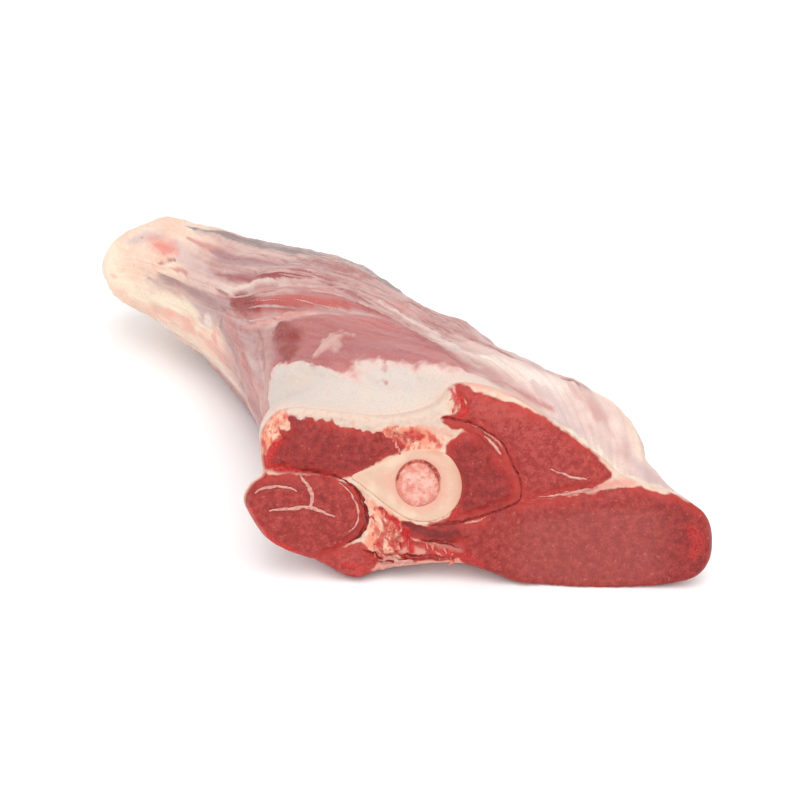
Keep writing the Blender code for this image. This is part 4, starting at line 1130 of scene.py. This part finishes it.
face_across, face_up = flat.T
shaken = flat + zigzag(2.6, 61, 0.35)
top_left = eased((face_up - 9) / 5) * eased((-4 - face_across) / 6)
torn_edge = shaken + zigzag(3.4, 63, 1.0) * (0.15 + top_left)[:, None]

near_cut = along_leg < 4
lean_depth = np.full(len(flat), FAR_OUTSIDE)
shade = np.zeros(len(flat))
for tone, outline in MUSCLES.values():
    inside = inside_on_cut(torn_edge, outline)
    shade = np.where(inside > lean_depth, tone, shade)
    lean_depth = np.maximum(lean_depth, inside)
# The calf is lightest at its top, and the heel darkest at its right end.
shade = shade + 0.4 * eased((face_up - 14) / 8) * eased((face_across - 12) / 6)
shade -= 0.3 * eased((face_across - 58) / 12)

cut_rise = MUSCLE_RISE * eased(lean_depth / MUSCLE_SHOULDER)
marked = {kind: np.zeros(len(flat)) for kind in ("white", "blood", "gap")}
for kind, most, height, path in CUT_MARKS:
    near = nearness(shaken, smooth_path(path, 12))
    marked[kind] = np.maximum(marked[kind], most * eased(near * 1.8))
    cut_rise += height * eased(near * 1.5)
lean = eased(lean_depth / 0.6)
lean_relief = LEAN_FINE_RELIEF * lumps(flat, 0.9, 71, 2) + LEAN_BROAD_RELIEF * lumps(flat, 4.5, 72, 2)
fat_relief = FAT_FINE_RELIEF * lumps(flat, 1.6, 73) + FAT_BROAD_RELIEF * lumps(flat, 5, 74, 2)
cut_rise += lean * lean_relief
cut_rise += (1 - lean) * fat_relief
soft_fat = np.full(len(flat), FAR_OUTSIDE)
for outline in SOFT_FATS:
    soft_fat = np.maximum(soft_fat, inside_on_cut(shaken, outline))
white_fat = eased((face_up - 13) / 5) * eased((9 - face_across) / 5)
cut_rise += SOFT_FAT_RELIEF * eased(soft_fat / 2) * lumps(flat, 3.0, 75)

# Round the bone the flesh comes up level with it, and under the bone it is sunk out of sight.
in_bone = distance_inside(flat[is_cut], smooth_path(BONE_CUT_OUTLINE, 8, True))
touching = eased(1 + in_bone / 1.5)
beside_bone = (1 - touching) * cut_rise[is_cut] + touching * (BONE_PROUD - 0.1)
cut_rise[is_cut] = np.where(in_bone > 0.5, UNDER_BONE, beside_bone)
rim_share = np.repeat(np.sin(rim_turns), SKIN_COLUMNS)
rim_fade = np.concatenate((np.zeros(skin_count), rim_share, np.ones(len(grid))))

cut_out = leg_axes(0)[2]
moved = places + np.where(is_skin, skin_rise, 0)[:, None] * outwards
moved += (rim_fade * cut_rise)[:, None] * cut_out

# What would sink into the table is pressed flat on it.
height = moved[:, 2]
moved[:, 2] = np.maximum(0.5 * (height + np.sqrt(height**2 + PRESSED**2)) - 0.35 * PRESSED, 0)

# The skin is a loft that stays open at the cut, and the sawn face is joined on to its border.
skin_shape = moved[:ring_count * SKIN_COLUMNS].reshape(ring_count, SKIN_COLUMNS, 3)
points, faces = loft(list(skin_shape))
faces = [face for face in faces if max(face) < len(points) - 1]
points = np.vstack((points[:-1], moved[ring_count * SKIN_COLUMNS:]))
found = delaunay_2d_cdt(np.vstack((border, grid)).tolist(), [], [list(range(SKIN_COLUMNS))], 1, 1e-6)
first_border = 1 + (ring_count - 1) * SKIN_COLUMNS
spot = [first_border + sources[0] for sources in found[3]]
faces.extend(tuple(spot[corner] for corner in face) for face in found[2])

# ---------------------------------------------------------------------------------------------
# FLESH: FINISH. Moist lean, fat and silverskin. The grain of the lean shows as fine dots where it
# is sawn across, and as long streaks under the skin.

FILM_MOST = 0.18            # of the grey bloom on the drying lean of the heel


def sum_of(tree, first, second):
    """Two numbers added."""
    return put(tree, "ShaderNodeMath", {0: first, 1: second}, operation="ADD").outputs[0]


flesh_finish, tree, shader = new_material("lean_fat_and_silverskin")
fine = grain(tree, 0.8, detail=2)
middling = grain(tree, 3.0)
broad = grain(tree, 11.0, detail=2)
streaks = grain(tree, 1.3, stored(tree, "grain", "Vector"), detail=4, roughness=0.6)
wide_streaks = grain(tree, 4.5, stored(tree, "grain", "Vector"), detail=2)

# Sawn face.
dots = grain(tree, 0.55, detail=1)
coarse = grain(tree, 1.7)
patches = sum_of(tree, band(tree, coarse, 0.3, 0.7, -0.45, 0.45), band(tree, dots, 0.3, 0.7, -0.3, 0.3))
lean_tone = sum_of(tree, stored(tree, "shade"), patches)
dark_lean = mixed(tree, band(tree, lean_tone, -0.5, 0.45), (0.20, 0.012, 0.011), (0.295, 0.024, 0.020))
lean = mixed(tree, band(tree, lean_tone, 0.3, 1.4), dark_lean, (0.42, 0.057, 0.047))
lean_inside = stored(tree, "lean")
near_edge = times(tree, band(tree, lean_inside, 0.2, 3.4, 0.75, 0.0), band(tree, broad, 0.3, 0.6))
rimmed = mixed(tree, near_edge, lean, (0.46, 0.038, 0.028))
flecks = times(tree, band(tree, grain(tree, 1.0, detail=1), 0.68, 0.76), 0.3)
flecked = mixed(tree, flecks, rimmed, (0.62, 0.22, 0.17))
flecked = mixed(tree, stored(tree, "film"), flecked, (0.42, 0.15, 0.13))
cut_fat = mixed(tree, band(tree, middling, 0.35, 0.65), (0.68, 0.43, 0.32), (0.70, 0.54, 0.43))
cut_fat = mixed(tree, stored(tree, "white_fat"), cut_fat, (0.62, 0.495, 0.415))
strands = grain(tree, 1.5, detail=2, stretch=(1.0, 1.0, 0.4))
peach = mixed(tree, band(tree, middling, 0.4, 0.6), (0.74, 0.28, 0.18), (0.77, 0.49, 0.36))
peach = mixed(tree, band(tree, strands, 0.5, 0.62, 0.0, 0.8), peach, (0.56, 0.08, 0.055))
cut_fat = mixed(tree, stored(tree, "soft_fat"), cut_fat, peach)
face_colour = mixed(tree, band(tree, lean_inside, -0.35, 0.35), cut_fat, flecked)
face_colour = mixed(tree, stored(tree, "white"), face_colour, (0.66, 0.31, 0.25))
wet = mixed(tree, band(tree, dots, 0.35, 0.65), (0.40, 0.009, 0.011), (0.57, 0.040, 0.033))
face_colour = mixed(tree, stored(tree, "blood"), face_colour, wet)
face_colour = mixed(tree, stored(tree, "gap"), face_colour, (0.15, 0.010, 0.010))

# Skin: its stored colour, streaked along the grain and mottled.
skin = stored(tree, "skin_colour", "Color")
pale_share = times(tree, stored(tree, "veiled"), band(tree, streaks, 0.3, 0.62))
skin = mixed(tree, times(tree, pale_share, 0.30), skin, (0.72, 0.50, 0.45))
dark_share = times(tree, stored(tree, "fibrous"), band(tree, wide_streaks, 0.62, 0.36))
skin = mixed(tree, times(tree, dark_share, 0.38), skin, (0.28, 0.08, 0.08))
skin = mixed(tree, band(tree, fine, 0.55, 0.75, 0.0, 0.12), skin, (0.80, 0.60, 0.54))
skin = mixed(tree, band(tree, dots, 0.5, 0.3, 0.0, 0.14), skin, (0.42, 0.16, 0.15))

colour = mixed(tree, stored(tree, "face"), skin, face_colour)
crumbs = times(tree, stored(tree, "crumbly"), band(tree, grain(tree, 1.3), 0.5, 0.66))
feed(tree, shader, {
    "Base Color": mixed(tree, times(tree, crumbs, 0.5), colour, (0.64, 0.35, 0.26)),
    "Roughness": band(tree, middling, 0.3, 0.7, 0.38, 0.52),
    "Specular IOR Level": 0.32,
    "Subsurface Weight": 0.2,
    "Subsurface Radius": (1.0, 0.25, 0.15),
    "Subsurface Scale": 1.4 * MM,
})
relief = sum_of(tree, times(tree, dots, 0.5), times(tree, streaks, 0.5))
bumped(tree, shader, relief, 0.2, 0.5)

flesh = new_piece("flesh_sawn_and_jointed", points, faces, flesh_finish)


def at_points(values):
    """Adds the value of the point at the middle of the hock's end."""
    return np.concatenate((values[:1], values))


give(flesh, "grain", at_points(grain_place * MM))
give(flesh, "face", at_points(np.where(is_cut, 1.0, eased(1 - along_leg / 1.2) * 0.8)))
give(flesh, "lean", at_points(lean_depth))
give(flesh, "shade", at_points(shade))
for kind, strength in marked.items():
    give(flesh, kind, at_points(strength))
give(flesh, "soft_fat", at_points(eased(soft_fat / 1.2 + 0.3)))
rim_fat = np.where(is_cut, white_fat * eased(-lean_depth / 0.8), on_fat * eased(1 - along_leg / 5))
give(flesh, "crumbly", at_points(rim_fat))
give(flesh, "white_fat", at_points(0.85 * white_fat))
film = eased((lean_depth - 2) / 5) * eased((face_across - 20) / 14) * eased((-3 - face_up) / 4)
film *= eased((74 - face_across) / 12)
give(flesh, "film", at_points(FILM_MOST * film))
give(flesh, "skin_colour", at_points(skin_colour))
fibrous = (1 - hock_zone) * (1 - 0.55 * near_calf) * (1 - on_fat) * (1 - 0.6 * tendon_side)
give(flesh, "fibrous", at_points(fibrous))
give(flesh, "veiled", at_points(fibrous * (0.3 + 0.7 * eased(skin_colour[:, 1] / 0.28))))
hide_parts("flesh")
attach(flesh, "root")

# ---------------------------------------------------------------------------------------------
# FASCIA. White sheets of connective tissue inside the muscles, seen edge on where the saw has
# crossed them, so they lie in the sawn face as narrow bands, a hair above the lean.

# Each path is (across, up, half width).
FASCIA = (
    ((-32.2, 1.6, 0.2), (-31.2, 0.6, 0.4), (-29.6, -1.4, 0.5), (-28.8, -3.6, 0.55), (-28.9, -5.6, 0.5),
        (-29.6, -7.3, 0.3)),
    ((-40.6, -8.1, 0.2), (-37, -7.6, 0.4), (-34.4, -7.3, 0.45), (-31, -7, 0.5), (-28.4, -7.3, 0.5),
        (-25.9, -8.2, 0.4), (-22.6, -9.6, 0.2)),
    ((-44.6, -3.4, 0.2), (-42.4, -2, 0.35), (-39.6, -1.3, 0.4), (-36, -1.3, 0.35), (-33, -2.2, 0.2)),
    ((-21.5, -0.2, 0.12), (-18.8, -2.6, 0.2), (-16.9, -5.8, 0.28), (-16.3, -8.8, 0.3),
        (-16.9, -12, 0.22), (-19.4, -14.8, 0.12)),
    ((36, 5.2, 0.15), (39.5, 4, 0.3), (43, 2.8, 0.3), (48, 2.4, 0.15)),
    ((17.8, 14, 0.15), (19.6, 12.6, 0.35), (21.2, 10.6, 0.45), (22.4, 8.6, 0.2)),
    ((-10.8, -22.6, 0.3), (-7.8, -22.2, 0.7), (-5, -22.9, 0.6), (-1, -22.6, 0.4)),
    ((33, -3.2, 0.15), (37, -2.9, 0.3), (41, -2.2, 0.4), (45, -1.3, 0.5), (49, -0.2, 0.3)),
)
FASCIA_THICKNESS = 0.3      # of the bands' half width
FASCIA_LIFT = 0.05


def on_face(path, lift, shake=0.14):
    """A path over the sawn face, given as (across, up, half width), as points in space."""
    smooth = smooth_path(path, 10)
    drawn = smooth[:, :2]
    spots = drawn + shake * np.column_stack([lumps(drawn, 1.6, seed, 2) for seed in (81, 82)])
    closeness = np.exp(-((spots[:, None] - flat[is_cut]) ** 2).sum(2) / 0.25)
    rise = closeness @ (rim_fade * cut_rise)[is_cut] / closeness.sum(1)
    widths = smooth[:, 2] * (1 + 0.3 * lumps(drawn, 1.1, 83, 2))
    return np.column_stack((in_plane(spots, 0, rise + lift), widths))


def swept(nodes, along, profile):
    """A mesh that follows curves with a profile, as wide as each point's own half width."""
    return nodes.add("GeometryNodeCurveToMesh", {
        "Curve": along, "Profile Curve": profile, "Fill Caps": True,
        "Scale": nodes.add("GeometryNodeInputRadius")})


def bands(name, paths, thickness, material):
    """Narrow bands along paths on the sawn face, lying flat to it and tapered by their half widths."""
    nodes = Tree(name, Thickness=thickness, Sides=10)
    facing_out = {"Curve": nodes.entry.outputs[0], "Normal": tuple(cut_out)}
    faced = nodes.add("GeometryNodeSetCurveNormal", facing_out, mode="FREE")
    ring = nodes.add("GeometryNodeCurvePrimitiveCircle", {"Resolution": nodes.size("Sides"), "Radius": MM})
    flat_scale = nodes.add("ShaderNodeCombineXYZ", {"X": nodes.size("Thickness"), "Y": 1.0, "Z": 1.0})
    profile = nodes.add("GeometryNodeTransform", {"Geometry": ring, "Scale": flat_scale})
    return nodes.finish(path_object(name, paths), swept(nodes, faced, profile), material)


fascia_finish = mottled(
    "fascia", 1.2, 0.15, (0.50, 0.19, 0.16), (0.61, 0.31, 0.25), {"Roughness": 0.4})[0]
fascia_paths = [on_face(path, FASCIA_LIFT) for path in FASCIA]
fascia = bands("fascia_lines", fascia_paths, FASCIA_THICKNESS, fascia_finish)
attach(fascia, "root")

# ---------------------------------------------------------------------------------------------
# BLOOD IN THE GAPS. A dark line of blood fills each slit where two muscles part on the sawn face.
# It lies level with the lean and thins out to nothing at its ends.

SLITS = (
    ((-21.8, 1.4, 0.1), (-19.6, 0.2, 0.3), (-17.2, -1.8, 0.42), (-14.8, -5.4, 0.5), (-13.9, -9, 0.6),
        (-14.1, -12.6, 0.5), (-16.2, -15.8, 0.4), (-19.2, -18, 0.1)),
    ((-33, 3, 0.1), (-30, 2.8, 0.2), (-27, 2.5, 0.3), (-23.5, 1.9, 0.35), (-20.6, 0.9, 0.1)),
    ((3, -12, 0.1), (9, -11.4, 0.4), (14, -10.2, 0.35), (19.4, -8.5, 0.3), (24.4, -6.6, 0.3),
        (27.6, -4.4, 0.25), (28.3, -1.4, 0.1)),
    ((28.3, -2, 0.1), (27.6, 2.4, 0.25), (25.2, 6.8, 0.25), (23.6, 10.8, 0.25), (20.6, 14, 0.2),
        (16, 16.4, 0.1)),
    ((6.4, 18.9, 0.1), (8.4, 19, 0.4), (11.6, 18.4, 0.4), (15, 17.2, 0.3), (18.6, 15.4, 0.1)),
    ((-6.4, -19.8, 0.1), (-2, -20.9, 0.35), (3.6, -20.4, 0.35), (9.6, -21.4, 0.1)),
    ((1, -16.6, 0.1), (6, -17, 0.35), (11.4, -18.2, 0.1)),
    ((-15, -19.4, 0.1), (-12, -20.8, 0.4), (-8.4, -22.8, 0.35), (-5, -22.6, 0.3), (0, -21.8, 0.1)),
)
SLIT_THICKNESS = 0.3        # of the slits' half width
SLIT_LIFT = 0.06

slit_finish = mottled(
    "blood_in_gaps", 1.5, 0.1, (0.15, 0.010, 0.010), (0.28, 0.028, 0.026),
    {"Roughness": 0.6, "Specular IOR Level": 0.12})[0]
slit_paths = [on_face(path, SLIT_LIFT) for path in SLITS]
slits = bands("blood_in_the_gaps", slit_paths, SLIT_THICKNESS, slit_finish)
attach(slits, "root")

# ---------------------------------------------------------------------------------------------
# TORN FIBRES. Short threads of wet lean that the knife and saw pulled loose, where the muscles were
# parted from the bone. They lie every way over the soft fat, but mostly up and down.

TORN_PLACES = (
    (-9.5, -9), (-7.5, -12.6), (-4, -15), (-8.6, -16.6), (-4.4, -18), (-10.4, -19.6), (3, -18),
    (9, -19.6), (-1.5, 14), (-6, 14), (10.4, 24),
)
TORN_SPREAD = 1.3
TORN_HEADING = radians(-65)
TORN_HEADING_SPREAD = 0.55
FIBRES_EACH = 5
FIBRE_HALF_WIDTH = 0.32
FIBRE_LENGTH = (1.4, 3.2)
FIBRE_LIFT = -0.05
TORN_THICKNESS = 0.6        # of the fibres' half width
TORN_SEED = 7

chance = np.random.default_rng(TORN_SEED)
steps = np.linspace(0, 1, 5)
torn_paths = []
for place in np.repeat(TORN_PLACES, FIBRES_EACH, axis=0):
    heading = chance.normal(TORN_HEADING, TORN_HEADING_SPREAD)
    length = chance.uniform(*FIBRE_LENGTH)
    start = place + chance.normal(0, TORN_SPREAD, 2)
    bend = chance.normal(0, 0.3)
    stretch = start + length * steps[:, None] * around(heading + bend * steps, 1)
    width = FIBRE_HALF_WIDTH * chance.uniform(0.7, 1.3) * np.sin(pi * (0.08 + 0.84 * steps)) ** 0.7
    torn_paths.append(on_face(np.column_stack((stretch, width)), FIBRE_LIFT, 0.1)[::3])

torn_finish = mottled(
    "torn_lean", 2.0, 0.1, (0.44, 0.045, 0.036), (0.64, 0.20, 0.14), {"Roughness": 0.3})[0]
torn = bands("torn_fibres", torn_paths, TORN_THICKNESS, torn_finish)
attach(torn, "root")

# ---------------------------------------------------------------------------------------------
# SINEW STRANDS. Thin pale threads of sinew in the silverskin. They run with the grain from the hock
# over the bellies of the muscles, and are scattered and sized at random.

STRAND_COUNT = 70
STRAND_HALF_WIDTH = 0.46
STRAND_SINK = 0.24
STRAND_LENGTH = (10, 34)
STRAND_REACH = (20, 118)        # between which y they lie
STRAND_LINES = (1.1, 4.0)       # between which lines of the grain they lie
STRAND_STEP = 1.2


def skin_spots(y, degrees, lift):
    """Points on the finished skin at each y and bearing, lifted off it."""
    first_row = skin_count / SKIN_COLUMNS - SKIN_ROWS
    row = first_row + (HOCK_Y - y) / (HOCK_Y - RIM_START) * (SKIN_ROWS - 1)
    whole_turn = np.append(skin_angles, 2 * pi)
    column = np.interp(np.radians(degrees) % (2 * pi), whole_turn, np.arange(SKIN_COLUMNS + 1))
    above, before = np.floor(row).astype(int), np.floor(column).astype(int)
    down, over = (row - above)[:, None], (column - before)[:, None]
    left, right = before % SKIN_COLUMNS, (before + 1) % SKIN_COLUMNS
    near_row, far_row = (
        (1 - over) * skin_shape[line, left] + over * skin_shape[line, right] for line in (above, above + 1))
    spots = (1 - down) * near_row + down * far_row
    away = spots - skin_shape[above].mean(axis=1)
    return spots + lift * away / np.linalg.norm(away, axis=1)[:, None]


def grain_bearing(line, y):
    """The bearing of a line of the grain at each y."""
    first = int(line)
    low_line, high_line = (np.interp(y, line_y, column) for column in line_columns[first:first + 2])
    return low_line + (line - first) * (high_line - low_line)


bare_belly = smooth_path(np.array(BELLIES[2][2]) * (1, MM_PER_DEGREE), 5, True)     # has no strands
strand_paths = []
while len(strand_paths) < STRAND_COUNT:
    line = chance.uniform(*STRAND_LINES)
    length = chance.uniform(*STRAND_LENGTH)
    start = chance.uniform(STRAND_REACH[0], STRAND_REACH[1] - length)
    y = np.linspace(start, start + length, int(length / STRAND_STEP))
    degrees = grain_bearing(line, y) + 1.0 * np.sin(y / 9 + line * 9)
    if distance_inside(np.column_stack((y, degrees * MM_PER_DEGREE)), bare_belly).max() > -1:
        continue
    share = np.linspace(0, 1, len(y))
    width = STRAND_HALF_WIDTH * chance.uniform(0.6, 1.4) * np.sin(pi * (0.04 + 0.92 * share)) ** 0.6
    strand_paths.append(np.column_stack((skin_spots(y, degrees, -STRAND_SINK), width)))

strand_finish = mottled(
    "sinew", 9.0, 0.1, (0.42, 0.19, 0.175), (0.56, 0.35, 0.32), {"Roughness": 0.4})[0]
nodes = Tree("strands", Sides=6)
ring = nodes.add("GeometryNodeCurvePrimitiveCircle", {"Resolution": nodes.size("Sides"), "Radius": MM})
threads = swept(nodes, nodes.entry.outputs[0], ring)
strands = nodes.finish(path_object("sinew_strands", strand_paths), threads, strand_finish)
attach(strands, "root")

# ---------------------------------------------------------------------------------------------
# TABLE, LIGHT AND CAMERA. The shank lies on a plain white table under two wide soft panels, one
# overhead and one at the front left. A long lens looks down on the sawn end from its front left.

TABLE_SIZE = 12.0           # this and the rest of the section are in metres
WORLD_STRENGTH = 0.92
PANEL_SIZE = 1.4
OVERHEAD_POWER = 10
FRONT_POWER = 7.6
CAMERA_TURN = radians(-31)
CAMERA_TILT = radians(30)
CAMERA_DISTANCE = 0.9
CAMERA_TARGET = Vector((-0.00588, -0.04139, 0.0406))
LENS = 146.25


def soft_light(name, place, power):
    """A square panel that faces the shank."""
    lamp = bpy.data.lights.new(name, "AREA")
    lamp.shape = "SQUARE"
    lamp.size = PANEL_SIZE
    lamp.energy = power
    holder = placed(name, lamp)
    holder.location = place
    holder.rotation_euler = (Vector((0, 0, 0.02)) - Vector(place)).to_track_quat("-Z", "Y").to_euler()


table_mesh = bpy.data.meshes.new("table")
half = TABLE_SIZE / 2
corners = [(-half, -half, 0), (half, -half, 0), (half, half, 0), (-half, half, 0)]
table_mesh.from_pydata(corners, [], [(0, 1, 2, 3)])
table_finish, tree, shader = new_material("white_table")
feed(tree, shader, {"Base Color": (0.95, 0.95, 0.95, 1), "Roughness": 0.9, "Specular IOR Level": 0.1})
table_mesh.materials.append(table_finish)
placed("table", table_mesh)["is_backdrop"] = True

world = bpy.data.worlds.new("studio")
world.use_nodes = True
sky = world.node_tree.nodes["Background"]
feed(world.node_tree, sky, {"Color": (1, 1, 1, 1), "Strength": WORLD_STRENGTH})
bpy.context.scene.world = world
soft_light("overhead_panel", (-0.1, -0.35, 1.5), OVERHEAD_POWER)
soft_light("front_panel", (-0.8, -1.3, 0.9), FRONT_POWER)
bpy.context.scene.view_settings.view_transform = "Standard"

camera_data = bpy.data.cameras.new("camera")
camera_data.lens = LENS
camera = placed("camera", camera_data)
level = cos(CAMERA_TILT)
back = Vector((sin(CAMERA_TURN) * level, -cos(CAMERA_TURN) * level, sin(CAMERA_TILT)))
camera.location = CAMERA_TARGET + CAMERA_DISTANCE * back
camera.rotation_euler = back.to_track_quat("Z", "Y").to_euler()
bpy.context.scene.camera = camera

sizes = {"cad": [list(corner) for corner in cad_box], "visual": [list(corner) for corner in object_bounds()]}
